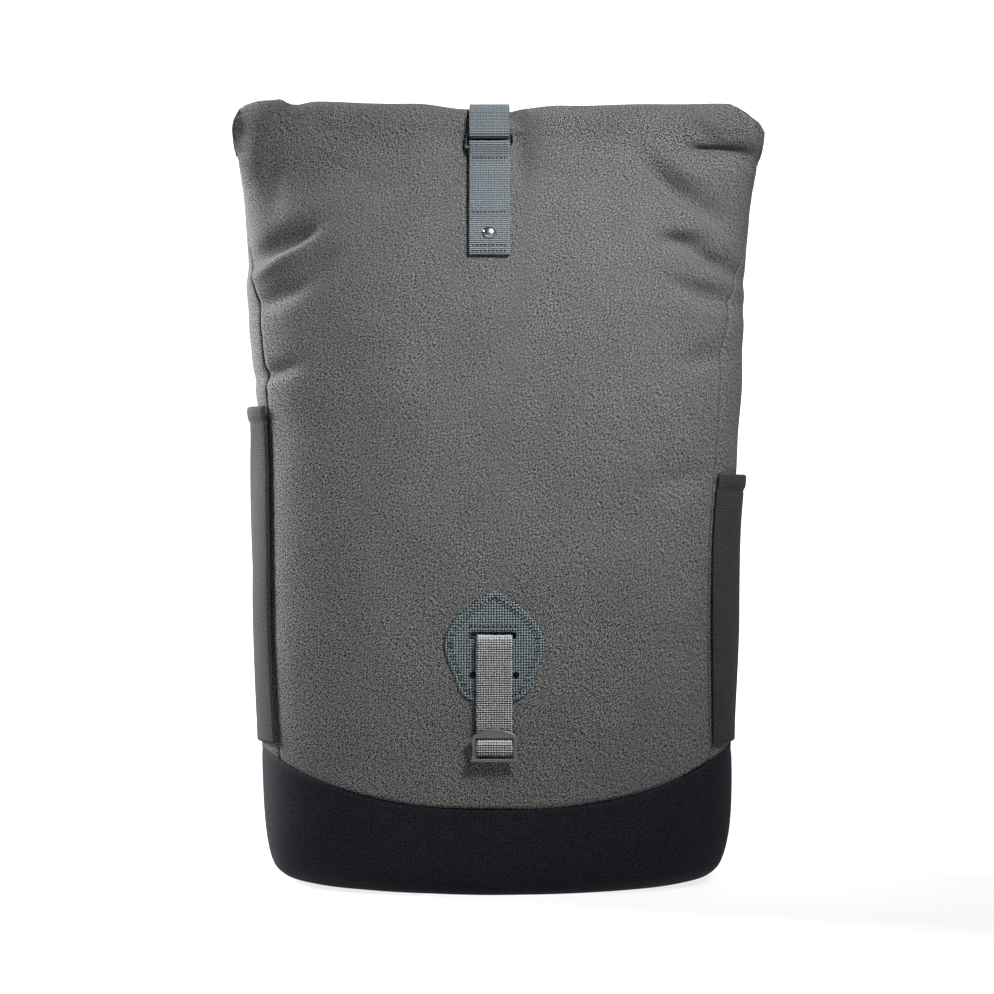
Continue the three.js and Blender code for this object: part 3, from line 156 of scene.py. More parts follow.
def bag_rows():
    """The bag's sections from its floor to the neck, one row each."""
    rows = []
    for height, forward, back, left, right, seam, hem, rounded in BODY:
        z = height * ROLL_HEIGHT
        y = mix(ROLL_FRONT, -FRONT_DEPTH, forward)
        rows.append((y, z, back * BACK_DEPTH, z, left, right, seam, hem, rounded, 5))
    for front, forward, rear, back, left, right, seam, hem in SHOULDER:
        y = mix(ROLL_FRONT, -FRONT_DEPTH, forward)
        front_z, back_z = front * ROLL_HEIGHT, rear * ROLL_HEIGHT
        rows.append((y, front_z, back * BACK_DEPTH, back_z, left, right, seam, hem, 3, 5))
    for front, forward, under, left, right in NECK_ROWS:
        around = min(max((under - 180) / 90, 0), 1)
        clear = ROLL_RADIUS - mix(MOUTH_PAIR, 0.75 * ROLL_PITCH - 0.8, around)
        y = mix(ROLL_FRONT, -FRONT_DEPTH, forward)
        back_y = -ROLL_SETBACK + clear * math.cos(math.radians(under))
        back_z = ROLL_HEIGHT + clear * math.sin(math.radians(under))
        rounds = mix(6, 3, around), mix(6, 5, around)
        rows.append((y, front * ROLL_HEIGHT, back_y, back_z, left, right, 90, 90, *rounds))
    table = np.array(rows, float)
    table[:, [LEFT, RIGHT]] *= HALF_WIDTH
    return table


BAG_ROWS = bag_rows()


def sections(station):
    """Section values at stations: whole ones up to NECK are the rows, and the rest is the roll."""
    station = np.asarray(station, float)
    low = np.clip(np.floor(station).astype(int), 0, NECK - 1)
    share = (np.minimum(station, NECK) - low)[..., None]
    a, b, c, d = (BAG_ROWS[np.clip(low + k, 0, NECK)] for k in (-1, 0, 1, 2))
    s2, s3 = share ** 2, share ** 3
    body = (2 * s3 - 3 * s2 + 1) * b + (s3 - 2 * s2 + share) * (c - a) / 2
    body = body + (3 * s2 - 2 * s3) * c + (s3 - s2) * (d - b) / 2
    turned = np.maximum(station - NECK, 0) * TURNED_STEP
    radius = ROLL_RADIUS - ROLL_PITCH * turned / 360
    cos, sin = np.cos(np.radians(turned)), np.sin(np.radians(turned))
    widths = np.array(ROLL_WIDTHS)
    left = np.interp(turned, widths[:, 0], widths[:, 1]) * HALF_WIDTH
    right = np.interp(turned, widths[:, 0], widths[:, 2]) * HALF_WIDTH
    seam, rounded = np.full_like(turned, 90.0), np.full_like(turned, 6.0)
    rolled = np.stack(
        [
            -ROLL_SETBACK - cos * radius,
            ROLL_HEIGHT + sin * radius,
            -ROLL_SETBACK - cos * (radius - MOUTH_PAIR),
            ROLL_HEIGHT + sin * (radius - MOUTH_PAIR),
            left,
            right,
            seam,
            seam,
            rounded,
            rounded,
        ],
        -1,
    )
    return np.where((station > NECK)[..., None], rolled, body)


def folds_at(table, x, z):
    """How deep the folds of a table are at places of the front."""
    depth = np.zeros(np.broadcast(x, z).shape)
    for across, height, length, breadth, turn, deep in table:
        dx = x / HALF_WIDTH - across
        dz = (z - height * ROLL_HEIGHT) / HALF_WIDTH
        cos, sin = math.cos(math.radians(turn)), math.sin(math.radians(turn))
        along, aside = dx * cos + dz * sin, dz * cos - dx * sin
        depth += deep * FOLD_DEPTH * np.exp(-2 * (along / length) ** 2 - 2 * (aside / breadth) ** 2)
    return depth


def on_bag(angle, station, out=0.0):
    """Points of the bag, out millimetres outside its outer face. Angle 0 is the front and 90 the right."""
    angle, station, out = np.broadcast_arrays(angle, station, out)
    s = sections(station)
    sin, cos = np.sin(np.radians(angle)), np.cos(np.radians(angle))
    is_front = cos > 0
    rounded = np.where(is_front, s[..., FRONT_ROUND], s[..., BACK_ROUND])
    reach = (np.abs(sin) ** rounded + np.abs(cos) ** rounded) ** (-1 / rounded)
    half_width = np.where(sin < 0, s[..., LEFT], s[..., RIGHT])
    middle_y = (s[..., FRONT_Y] + s[..., BACK_Y]) / 2
    middle_z = (s[..., FRONT_Z] + s[..., BACK_Z]) / 2
    arm_y = np.where(is_front, s[..., FRONT_Y] - middle_y, middle_y - s[..., BACK_Y])
    arm_z = np.where(is_front, s[..., FRONT_Z] - middle_z, middle_z - s[..., BACK_Z])
    half = np.hypot(arm_y, arm_z)
    share = cos * reach
    plain_x = sin * reach * half_width
    plain_z = middle_z + arm_z * share
    fade = np.where(is_front, 1, np.clip(1 + cos * 3, 0, 1)) * np.clip((NECK + 1.5 - station) / 3, 0, 1)
    pressed = folds_at(FOLDS, plain_x, plain_z) * fade * np.clip(half / 12, 0.15, 1)
    moved = out - pressed
    x = sin * reach * (half_width + moved)
    arm = share * (half + moved)
    y = middle_y + arm_y / half * arm
    z = middle_z + arm_z / half * arm
    in_roll = smooth((station - NECK + 3) / 3)
    dip = STRAP_PINCH * (1 - smooth((np.abs(plain_x - CLOSING_X) - 17) / 30)) * in_roll
    to_y, to_z = -ROLL_SETBACK - y, ROLL_HEIGHT - z
    far = np.maximum(np.hypot(to_y, to_z), 1)
    rise = np.where(plain_x < 0, *EAR_RISE) * np.abs(plain_x / HALF_WIDTH) ** 1.5 * in_roll
    near_roll = smooth((station - NECK + 7) / 3)
    dip = dip + folds_at(ROLL_FOLDS, plain_x, z) * near_roll * np.minimum(far / ROLL_RADIUS, 1)
    return np.stack([x, y + to_y / far * dip, z + to_z / far * dip + rise], -1)


# ---- From millimetres of the source to the frame, in metres ----
SHIFT = Vector((0.00032, -0.01317, 0))


def to_frame(points):
    return np.asarray(points) * 0.001 + np.array(SHIFT)


def station_of_height(height):
    stations = np.linspace(0, len(BODY) - 1, 2000)
    return np.interp(height, sections(stations)[:, FRONT_Z], stations)


def boot_seam(angle):
    """Height of the boot's top seam, which dips across the front and is level round the back."""
    across = np.abs(on_bag(angle, 4.0)[..., 0]) / BAG_ROWS[4, RIGHT]
    dipped = mix(BOOT_FRONT, BOOT_SIDE, np.clip(across, 0, 1) ** 2.6)
    return np.where(np.cos(np.radians(angle)) < 0, BOOT_SIDE, dipped)


# ---- Pieces ----
def lengths_of(grid):
    """Distances across and up a grid of points, in metres, from its middle column and first row."""
    across = np.linalg.norm(np.diff(grid, axis=1), axis=2).cumsum(axis=1)
    across = np.pad(across, ((0, 0), (1, 0)))
    across -= across[:, [grid.shape[1] // 2]]
    up = np.pad(np.linalg.norm(np.diff(grid, axis=0), axis=2).cumsum(axis=0), ((1, 0), (0, 0)))
    return np.stack([across, up], -1) * 0.001


def sheet_piece(name, grid, thickness=0.0, closed=False, lengths=None):
    """A cloth of rows and columns of points. Its outer side is the way across, times the way up."""
    rows, columns = grid.shape[0] - 1, grid.shape[1] - 1
    shape = bmesh.new()
    bmesh.ops.create_grid(shape, x_segments=columns, y_segments=rows, size=1)
    mesh = bpy.data.meshes.new(name)
    shape.to_mesh(mesh)
    flat = np.empty(len(mesh.vertices) * 3)
    mesh.vertices.foreach_get("co", flat)
    flat = flat.reshape(-1, 3)
    i = np.rint((flat[:, 0] + 1) / 2 * columns).astype(int)
    j = np.rint((flat[:, 1] + 1) / 2 * rows).astype(int)
    mesh.vertices.foreach_set("co", to_frame(grid[j, i]).ravel())
    corners = np.empty(len(mesh.loops), int)
    mesh.loops.foreach_get("vertex_index", corners)
    lengths = lengths_of(grid) if lengths is None else lengths
    layer = mesh.uv_layers.new(name="cloth")
    layer.data.foreach_set("uv", lengths[j[corners], i[corners]].ravel())
    if closed:
        shape.clear()
        shape.from_mesh(mesh)
        bmesh.ops.remove_doubles(shape, verts=shape.verts, dist=1e-6)
        shape.to_mesh(mesh)
    shape.free()
    mesh.shade_smooth()
    piece = bpy.data.objects.new(name, mesh)
    bpy.context.collection.objects.link(piece)
    if thickness:
        wall = piece.modifiers.new("wall", "SOLIDIFY")
        wall.thickness = thickness * 0.001
        wall.offset = -1
    return piece


def piece_from(name, shape, finish=None):
    mesh = bpy.data.meshes.new(name)
    shape.to_mesh(mesh)
    shape.free()
    mesh.shade_smooth()
    piece = bpy.data.objects.new(name, mesh)
    bpy.context.collection.objects.link(piece)
    if finish:
        mesh.materials.append(finish)
    return piece


def to_metres(shape, place):
    """Moves a shape that is drawn in millimetres to its place in the frame."""
    bmesh.ops.transform(shape, verts=shape.verts, matrix=place @ Matrix.Scale(0.001, 4))


def settle(piece, finish, slot, *nodes):
    """Gives a piece its finish and its place on the body, and hides the parts of the frame that it stands
    for.
    """
    if not piece.data.materials:
        piece.data.materials.append(finish)
    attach(piece, "root")
    if nodes:
        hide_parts(*nodes)
    return piece


# ---- Finishes ----
class Finish:
    """A material put together from short steps; a and b may be numbers or the outputs of earlier steps."""

    def __init__(self, name, rough=0.9, metal=0.0, specular=0.5):
        self.material = bpy.data.materials.new(name)
        self.material.use_nodes = True
        self.nodes = self.material.node_tree.nodes
        self.links = self.material.node_tree.links
        self.shader = self.nodes["Principled BSDF"]
        self.set("Roughness", rough)
        self.set("Metallic", metal)
        self.set("Specular IOR Level", specular)

    def set(self, socket, value):
        if isinstance(value, bpy.types.NodeSocket):
            self.links.new(value, self.shader.inputs[socket])
        else:
            self.shader.inputs[socket].default_value = value

    def step(self, kind, result=0, **inputs):
        node = self.nodes.new(kind)
        for key, value in inputs.items():
            if key.startswith("at_"):
                socket = node.inputs[int(key[3:])]
                if isinstance(value, bpy.types.NodeSocket):
                    self.links.new(value, socket)
                else:
                    socket.default_value = value
            else:
                setattr(node, key, value)
        return node.outputs[result]

    def maths(self, operation, a, b=0.0, c=0.0):
        return self.step("ShaderNodeMath", operation=operation, at_0=a, at_1=b, at_2=c)

    def scaled(self, value, factor, base):
        return self.maths("MULTIPLY_ADD", value, factor, base)

    def around(self, part):
        """A part from 0 to 1, moved to lie round 0."""
        return self.maths("SUBTRACT", part, 0.5)

    def cloth_place(self, angle=0.0):
        """Millimetres across and along the cloth, turned by an angle."""
        uv = self.step("ShaderNodeUVMap", uv_map="cloth")
        turn = (0, 0, math.radians(angle))
        place = self.step("ShaderNodeMapping", at_0=uv, at_2=turn, at_3=(1000, 1000, 1000))
        axes = self.nodes.new("ShaderNodeSeparateXYZ")
        self.links.new(place, axes.inputs[0])
        return place, axes.outputs[0], axes.outputs[1]

    def solid_place(self):
        """Millimetres in the frame."""
        texture = self.nodes.new("ShaderNodeTexCoord")
        return self.step("ShaderNodeMapping", at_0=texture.outputs["Object"], at_3=(1000, 1000, 1000))

    def stretched(self, place, x, y, z=1.0):
        return self.step("ShaderNodeMapping", at_0=place, at_3=(x, y, z))

    def grain(self, place, scale=1.0, detail=1.0, rough=0.5):
        return self.step("ShaderNodeTexNoise", at_0=place, at_2=scale, at_3=detail, at_4=rough)

    def ribs(self, place, pitch):
        """0 to 1 and back over each pitch."""
        turned = self.maths("MULTIPLY", place, 2 * math.pi / pitch)
        return self.scaled(self.maths("SINE", turned), 0.5, 0.5)

    def woven(self, value, *grains):
        """A weave's value with grains laid over it, each with its share, kept from 0 to 1."""
        for part, share in grains:
            value = self.scaled(self.around(part), share, value)
        return self.maths("MINIMUM", self.maths("MAXIMUM", value, 0.0), 1.0)

    def blend(self, share, dark, light):
        return self.step(
            "ShaderNodeMix", result=2, data_type="RGBA", at_0=share, at_6=(*dark, 1), at_7=(*light, 1),
        )

    def shade(self, colour, part, share=0.3):
        """The colour made darker and lighter by a part from 0 to 1."""
        amount = self.scaled(part, share, 1 - share / 2)
        tone = self.step("ShaderNodeCombineXYZ", at_0=amount, at_1=amount, at_2=amount)
        return self.step(
            "ShaderNodeMix", result=2, data_type="RGBA", blend_type="MULTIPLY",
            at_0=1.0, at_6=colour, at_7=tone,
        )

    def bump(self, height, depth, strength=1.0):
        """A normal from a height; depth is in millimetres."""
        node = self.nodes.new("ShaderNodeBump")
        node.inputs["Strength"].default_value = strength
        node.inputs["Distance"].default_value = depth * 0.001
        self.links.new(height, node.inputs["Height"])
        return node.outputs[0]


def twill_finish(name, dark, light):
    """A mottled twill of light and dark threads whose diagonals rise to the right."""
    f = Finish(name, rough=0.95, specular=0.06)
    place, across, along = f.cloth_place()
    rising, falling = (f.cloth_place(angle)[0] for angle in (-45, 45))
    rise = f.ribs(f.maths("SUBTRACT", across, along), 1.3 * math.sqrt(2))
    threads = f.grain(f.stretched(rising, 0.6, 1.9))
    crossing = f.grain(f.stretched(falling, 0.9, 1.9))
    specks = f.grain(place, 1.8)
    clouds = f.grain(place, 0.03, 3.0, 0.55)
    value = f.woven(f.scaled(rise, 0.3, 0.28), (threads, 4.6), (crossing, 2.8), (specks, 5.6))
    f.set("Base Color", f.shade(f.blend(value, dark, light), clouds))
    f.set("Normal", f.bump(value, 0.12))
    return f.material


def webbing_finish(name, dark, light, pitch=1.35, contrast=1.0, columns=1.6, column_share=0.5, wear=0.0):
    """Ribbed webbing: ribs across it, broken by finer lines along it, and smooth where it is worn."""
    f = Finish(name, rough=0.75, specular=0.12)
    place, across, along = f.cloth_place()
    wobble = f.maths("MULTIPLY", f.grain(f.stretched(place, 0.5, 0.08), 1.0, 2.0), 0.4)
    cross = f.around(f.ribs(f.maths("ADD", along, wobble), pitch))
    length = f.around(f.ribs(across, columns))
    patches = f.grain(f.stretched(place, 0.12, 0.1))
    fibres = f.grain(f.stretched(place, 0.8, 1.2))
    kept = f.maths("MAXIMUM", f.scaled(patches, 3.4 * wear, 1 - 1.7 * wear), 0.12)
    value = f.scaled(f.maths("MULTIPLY", cross, kept), contrast, 0.5)
    value = f.woven(f.scaled(length, column_share, value), (fibres, 1.5))
    f.set("Base Color", f.blend(value, dark, light))
    f.set("Normal", f.bump(value, 0.2))
    return f.material


def stretch_finish(name, dark, light):
    """Elastic cloth with fine ribs across it."""
    f = Finish(name, rough=0.85, specular=0.08)
    place, _, along = f.cloth_place()
    ribs = f.ribs(along, 1.5)
    fibres = f.grain(f.stretched(place, 1.0, 1.8))
    specks = f.grain(place, 1.7)
    clouds = f.grain(place, 0.04, 2.0)
    value = f.woven(f.scaled(ribs, 0.4, 0.28), (fibres, 2.2), (specks, 2.6))
    f.set("Base Color", f.shade(f.blend(value, dark, light), clouds))
    f.set("Normal", f.bump(value, 0.12))
    return f.material


def coated_finish(name, dark, light):
    """Black coated cloth: a fine plain weave under a dull film."""
    f = Finish(name, rough=0.8, specular=0.06)
    place, across, along = f.cloth_place()
    weave = f.maths("MULTIPLY", f.ribs(across, 1.1), f.ribs(along, 1.1))
    scuffs = f.grain(place, 0.12, 4.0, 0.65)
    value = f.woven(f.scaled(weave, 0.5, f.maths("MULTIPLY", scuffs, 0.6)), (f.grain(place, 1.1), 3.0))
    f.set("Base Color", f.blend(value, dark, light))
    f.set("Roughness", f.scaled(scuffs, 0.2, 0.7))
    f.set("Normal", f.bump(weave, 0.1, 0.7))
    return f.material


def ripstop_finish(name, dark, light):
    """Thin cloth waffled by a close grid of darker threads."""
    f = Finish(name, rough=0.55, specular=0.2)
    place, across, along = f.cloth_place()
    cells = f.maths("MULTIPLY", f.ribs(across, 1.6), f.ribs(along, 1.6))
    value = f.woven(f.scaled(cells, 1.45, -0.06), (f.grain(place, 0.9), 1.3))
    f.set("Base Color", f.blend(value, dark, light))
    f.set("Normal", f.bump(cells, 0.12))
    return f.material


def metal_finish(name, colour, rough, metal=1.0):
    f = Finish(name, rough=rough, metal=metal, specular=0.5)
    place = f.solid_place()
    brushed = f.grain(f.stretched(place, 0.25, 0.25, 3.0), 1.0, 3.0, 0.6)
    f.set("Base Color", f.shade((*colour, 1), brushed))
    f.set("Roughness", f.scaled(brushed, 0.16, rough - 0.08))
    f.set("Normal", f.bump(brushed, 0.02, 0.5))
    return f.material


def moulded_finish(name, colour):
    f = Finish(name, rough=0.45, specular=0.3)
    place = f.solid_place()
    spark = f.grain(place, 1.6, 2.0)
    f.set("Base Color", f.shade((*colour, 1), spark))
    f.set("Roughness", f.scaled(spark, 0.2, 0.38))
    f.set("Normal", f.bump(spark, 0.05, 0.6))
    return f.material


def mesh_finish(name, dark, light):
    """Spacer mesh: a honeycomb of small open cells."""
    f = Finish(name, rough=0.9, specular=0.1)
    place = f.solid_place()
    cells = f.step("ShaderNodeTexVoronoi", at_0=place, at_2=0.42, feature="F1")
    fuzz = f.grain(place, 1.2, 2.0, 0.6)
    value = f.scaled(fuzz, 0.3, f.maths("MULTIPLY", cells, 1.04))
    f.set("Base Color", f.blend(value, dark, light))
    f.set("Normal", f.bump(value, 0.4, 0.8))
    return f.material


def plain_thread(name, colour):
    f = Finish(name, rough=0.8, specular=0.1)
    place = f.solid_place()
    twist = f.grain(place, 2.5)
    f.set("Base Color", f.shade((*colour, 1), twist, 0.5))
    return f.material


CANVAS = twill_finish("mottled_canvas", (0.0035, 0.0035, 0.0034), (0.13, 0.13, 0.127))
BOOT_CLOTH = coated_finish("black_boot_cloth", (0.0008, 0.0006, 0.0012), (0.0145, 0.012, 0.019))
STRETCH = stretch_finish("stretch_pocket_cloth", (0.002, 0.002, 0.0021), (0.034, 0.034, 0.0355))
WEBBING = webbing_finish(
    "grey_webbing", (0.009, 0.0105, 0.012), (0.123, 0.141, 0.153),
    pitch=1.3, contrast=1.2, columns=1.64, column_share=0.3, wear=0.6,
)
# Its light rib tops are partly painted highlight and its near-black rib valleys partly painted shade, over
# the weave's own ribbed tone.
LASH_WEBBING = webbing_finish(
    "ribbed_lash_webbing", (0.002, 0.0022, 0.0024), (0.3, 0.31, 0.315), contrast=2.4, column_share=1.5,
)
BLACK_WEBBING = webbing_finish("black_webbing", (0.003, 0.003, 0.0035), (0.018, 0.018, 0.02))
RIPSTOP = ripstop_finish("teal_grey_ripstop", (0.004, 0.006, 0.007), (0.16, 0.205, 0.22))
HOOK_METAL = metal_finish("black_hook_metal", (0.018, 0.018, 0.019), 0.35)
RIVET_METAL = metal_finish("nickel_rivet", (0.3, 0.3, 0.31), 0.3)
SLIDER_METAL = metal_finish("gunmetal_slider", (0.085, 0.082, 0.08), 0.38, 0.5)
PLASTIC = moulded_finish("black_moulded_plastic", (0.006, 0.006, 0.0065))
MESH = mesh_finish("black_spacer_mesh", (0.002, 0.002, 0.0025), (0.03, 0.03, 0.033))
# Dark thread whose darkness also paints the shade in the stitch holes.
THREAD_AND_HOLE_SHADE = plain_thread("dark_thread_and_hole_shade", (0.006, 0.006, 0.0065))
GREY_THREAD = plain_thread("grey_thread", (0.1, 0.115, 0.12))
# Black for the studs, and painted shade for the slot's opening.
BLACK_STUD_AND_SLOT_SHADE = plain_thread("black_stud_and_slot_shade", (0.0015, 0.0015, 0.0016))


# ---- The cloth panels ----
def panel_places(columns, rows, edges, last):
    """Angles and stations of a panel's grid, its rows evenly spaced up each column from the boot."""
    share = np.linspace(0, 1, columns + 1)
    low_from, low_to = edges(4.0)
    first = station_of_height(boot_seam(mix(low_from, low_to, share)) + 0.15)
    dense = mix(first[None, :], last, np.linspace(0, 1, 500)[:, None])
    from_angle, to_angle = edges(dense)
    angle = mix(from_angle, to_angle, share[None, :])
    steps = np.linalg.norm(np.diff(on_bag(angle, dense), axis=0), axis=2).cumsum(axis=0)
    steps = np.pad(steps, ((1, 0), (0, 0)))
    station = np.stack(
        [np.interp(np.linspace(0, up[-1], rows + 1), up, way) for up, way in zip(steps.T, dense.T)], 1
    )
    from_angle, to_angle = edges(station)
    return mix(from_angle, to_angle, share[None, :]), station


def seams(station):
    """The angles of the front seam and of the back one, which meet where the side panel ends."""
    s = sections(station)
    return s[..., SEAM], np.where(np.asarray(station) > GUSSET_TIP, s[..., SEAM], s[..., HEM])


def left_seam(station):
    return seams(station)[0] + np.interp(station, range(4, 13), LEFT_SEAM_TURN)


def front_edges(station):
    return -left_seam(station), seams(station)[0]


def back_edges(station):
    hem = seams(station)[1]
    return hem, 360 - hem


def left_edges(station):
    return 360 - seams(station)[1], 360 - left_seam(station)


def ripple(across, up, seed, size):
    """Gentle unevenness of about one unit, from a few crossing waves."""
    random = np.random.default_rng(seed)
    total = np.zeros(np.broadcast(across, up).shape)
    for k in range(6):
        way = random.uniform(0, math.pi)
        wave = size * random.uniform(0.6, 1.6)
        phase = random.uniform(0, 2 * math.pi)
        total += np.sin((across * math.cos(way) + up * math.sin(way)) * 2 * math.pi / wave + phase)
    return total / 3.5


def panel_piece(name, columns, rows, edges, last, relief):
    """A panel between two seams; relief gives how far its places stand off the plain bag."""
    angle, station = panel_places(columns, rows, edges, last)
    plain = on_bag(angle, station)
    lengths = lengths_of(plain)
    across, above = lengths[..., 0] * 1000, lengths[..., 1] * 1000
    from_side = np.minimum(across - across[:, [0]], across[:, [-1]] - across)
    out = relief(plain, from_side, above, station)
    return sheet_piece(name, on_bag(angle, station, out), CLOTH, lengths=lengths)


def seam_groove(distance, deep=1.2, broad=2.6):
    return -deep * bell(distance, broad)


def pucker(from_side, above, phase=0.0):
    """The small waves that the stitches draw along a seam."""
    return 0.12 * np.sin(above * 2 * math.pi / 12 + phase) * bell(from_side, 6)


FINE_FOLDS = (
    (-0.6, 0.955, 0.16, 0.03, -28, 0.14),
    (-0.62, 0.965, 0.16, 0.03, -28, -0.12),
    (0.1, 0.95, 0.1, 0.045, -80, 0.55),
    (-0.16, 0.95, 0.06, 0.04, 80, 0.3),
    (0.2, 0.945, 0.16, 0.03, -6, 0.2),
    (-0.35, 0.62, 0.3, 0.2, 20, -0.2),
    (0.3, 0.5, 0.35, 0.2, -15, 0.2),
)


def front_relief(plain, from_side, above, station):
    x, z = plain[..., 0], plain[..., 2]
    out = seam_groove(from_side, 0.6, 1.6) + seam_groove(above, 0.6, 2.0) + pucker(from_side, above)
    out = out + 0.5 * ripple(x, z, 3, 70) * np.clip(from_side / 20, 0, 1)
    fade = np.clip((NECK + 1 - station) / 3, 0, 1)
    return out - folds_at(FINE_FOLDS, x, z) * fade


def side_relief(plain, from_side, above, station):
    y, z = plain[..., 1], plain[..., 2]
    uneven = 0.4 * ripple(y, z, 8, 60) * np.clip(from_side / 15, 0, 1)
    return seam_groove(from_side, 0.6, 1.6) + pucker(from_side, above, 2) + uneven


def back_relief(plain, from_side, above, station):
    uneven = 0.3 * ripple(plain[..., 0], plain[..., 2], 5, 80)
    return seam_groove(from_side) + seam_groove(above, 0.8, 2.2) + uneven


front_cloth = panel_piece("front_cloth", 150, 230, front_edges, ROLL_END, front_relief)
settle(front_cloth, CANVAS, "canvas", "front_panel", "roll_outer_cloth")
back_cloth = panel_piece("back_cloth", 90, 190, back_edges, ROLL_END, back_relief)
settle(back_cloth, CANVAS, "canvas", "back_panel", "roll_inner_cloth")
for side, edges in (("left", left_edges), ("right", seams)):
    cloth = panel_piece(f"side_cloth_{side}", 44, 120, edges, GUSSET_TIP, side_relief)
    settle(cloth, CANVAS, "canvas", f"side_panel_{side}")


def boot_piece():
    """The boot: a cup of coated cloth with a bound top edge and a flat floor."""
    angles = np.linspace(-180, 180, 241)
    top = station_of_height(boot_seam(angles) - 0.15)
    up = np.linspace(0, 1, 47) ** 1.15
    station = up[:, None] * top[None, :]
    angle = np.broadcast_to(angles, station.shape)
    below = (boot_seam(angles) - 0.15)[None, :] - on_bag(angle, station)[..., 2]
    out = 0.8 * np.exp(-((below - 2.2) ** 2) / 2.2) - 0.5 * np.exp(-((below - 5.4) ** 2) / 1.6)
    wall = on_bag(angle, station, out + 0.35 * ripple(angle * 2.2, station * 12, 4, 50))
    ring = wall[0]
    centre = np.array([0, -6.0, 0])
    floor = np.stack([centre + (ring - centre) * share for share in (0.002, 0.2, 0.4, 0.6, 0.8, 0.9, 0.97)])
    floor[..., 2] = 0
    wall[0, :, 2] = 0
    return sheet_piece("boot_cup", np.concatenate([floor, wall]), CLOTH, closed=True)


settle(boot_piece(), BOOT_CLOTH, "boot_cloth", "base_boot")


def pocket_piece(name, side, top, fullness, crease):
    """A stretch pocket over a side, with a turned hem at its top."""
    columns, rows = 60, 110
    share = np.linspace(0, 1, columns + 1)[None, :]
    up = np.linspace(0, 1, rows + 1)[:, None]
    height = mix(BOOT_SIDE + GAP, top, up) + 0 * share
    station = station_of_height(height)
    seam, hem = seams(station)
    angle = mix(-hem, -left_seam(station), share) if side < 0 else mix(seam, hem, share)
    rise = np.clip(0.25 + up * 1.6, 0, 1)
    bulge = fullness * np.sin(math.pi * np.clip(share, 0.0001, 0.9999)) ** 0.55 * smooth(rise)
    from_hem = top - height
    turned = 0.7 * np.exp(-(((from_hem - 4.5) / 4.6) ** 6)) - 0.5 * bell(from_hem - 10, 1.2)
    out = 2.1 + bulge + turned - 0.5 * bell(from_hem, 1.2) + crease(share, up)
    return sheet_piece(name, on_bag(angle, station, out), 1.2)


def left_crease(share, up):
    """One long soft fold that runs down and forwards from the hem."""
    line = 0.9 - 0.75 * (1 - up)
    return 1.3 * bell(share - line, 0.06) * smooth(1.5 - np.abs(up - 0.7) * 4)


def right_crease(share, up):
    return 0.5 * np.sin(share * 19 + up * 5) * np.sin(math.pi * up)


settle(pocket_piece("pocket_left", -1, 297, 5.2, left_crease), STRETCH, "stretch_cloth", "side_pocket_left")
settle(pocket_piece("pocket_right", 1, 255, 4.8, right_crease), STRETCH, "stretch_cloth", "side_pocket_right")


# ---- Webbing ----
def distances(line):
    """How far along a line each of its points lies."""
    return np.pad(np.linalg.norm(np.diff(line, axis=0), axis=1).cumsum(), (1, 0))


def left_of(line):
    """Unit ways to the left of a line of points (y, z)."""
    way = np.gradient(line, axis=0)
    way /= np.linalg.norm(way, axis=1)[:, None]
    return np.stack([-way[:, 1], way[:, 0]], -1)


def side_profile(x, stations, is_front=True):
    """The cloth's outer face at a place across the bag, as points (y, z)."""
    half = sections(stations)[:, RIGHT]
    turn = np.degrees(np.arctan(x / half))
    return on_bag(turn if is_front else 180 - turn, stations)[:, 1:]


def moved_aside(line, distance):
    """A line moved to its left by a distance; up the front, left is outwards."""
    return line + left_of(line) * distance


def evenly(line, step):
    """The line with its points respaced by step."""
    lengths = distances(line)
    count = max(2, int(lengths[-1] / step))
    places = np.linspace(0, lengths[-1], count + 1)
    return np.stack([np.interp(places, lengths, line[:, k]) for k in range(line.shape[1])], -1)


def softened(line, times):
    line = line.copy()
    for _ in range(times):
        line[1:-1] = (line[:-2] + 2 * line[1:-1] + line[2:]) / 4
    return line


def arc(centre, radius, start, end):
    angle = np.radians(np.linspace(start, end, 14))
    return np.stack([centre[0] + radius * np.cos(angle), centre[1] + radius * np.sin(angle)], -1)


def web_piece(name, line, width, x, columns, step=0.6, rib=0.0, pitch=1.35, soften=6):
    """Webbing whose middle line is drawn from the side as (y, z), its outer side to the line's left."""
    line = softened(evenly(line, step), soften)
    lengths = distances(line)
    across = np.linspace(-1, 1, columns + 1)
    across = np.sign(across) * np.abs(across) ** 0.9
    edge = np.clip((np.abs(across) - 0.93) / 0.07, 0, 1)
    out = np.zeros((len(line), columns + 1)) - 0.25 * edge[None, :] ** 2
    out += rib * np.sin(lengths * 2 * math.pi / pitch)[:, None] * (1 - edge)[None, :]
    selvage = 0.12 * np.sin(lengths * 2 * math.pi / 1.75)[:, None] * edge[None, :]
    grid = np.empty((len(line), columns + 1, 3))
    grid[..., 0] = x + across[None, :] * width / 2 + selvage * np.sign(across)
    grid[..., 1:] = line[:, None, :] + left_of(line)[:, None, :] * (out + WEB / 2)[..., None]
    lengths = np.stack(np.broadcast_arrays(across[None, :] * width / 2, lengths[:, None]), -1) * 0.001
    return sheet_piece(name, grid, WEB, lengths=lengths)


def front_reach(height, x):
    """The y of the front's outer face."""
    line = side_profile(x, np.linspace(2, NECK, 700))
    return np.interp(height, line[:, 1], line[:, 0])


def front_lean(height, x):
    """How far the front leans back there, in radians."""
    return math.atan2(front_reach(height + 1, x) - front_reach(height - 1, x), 2)


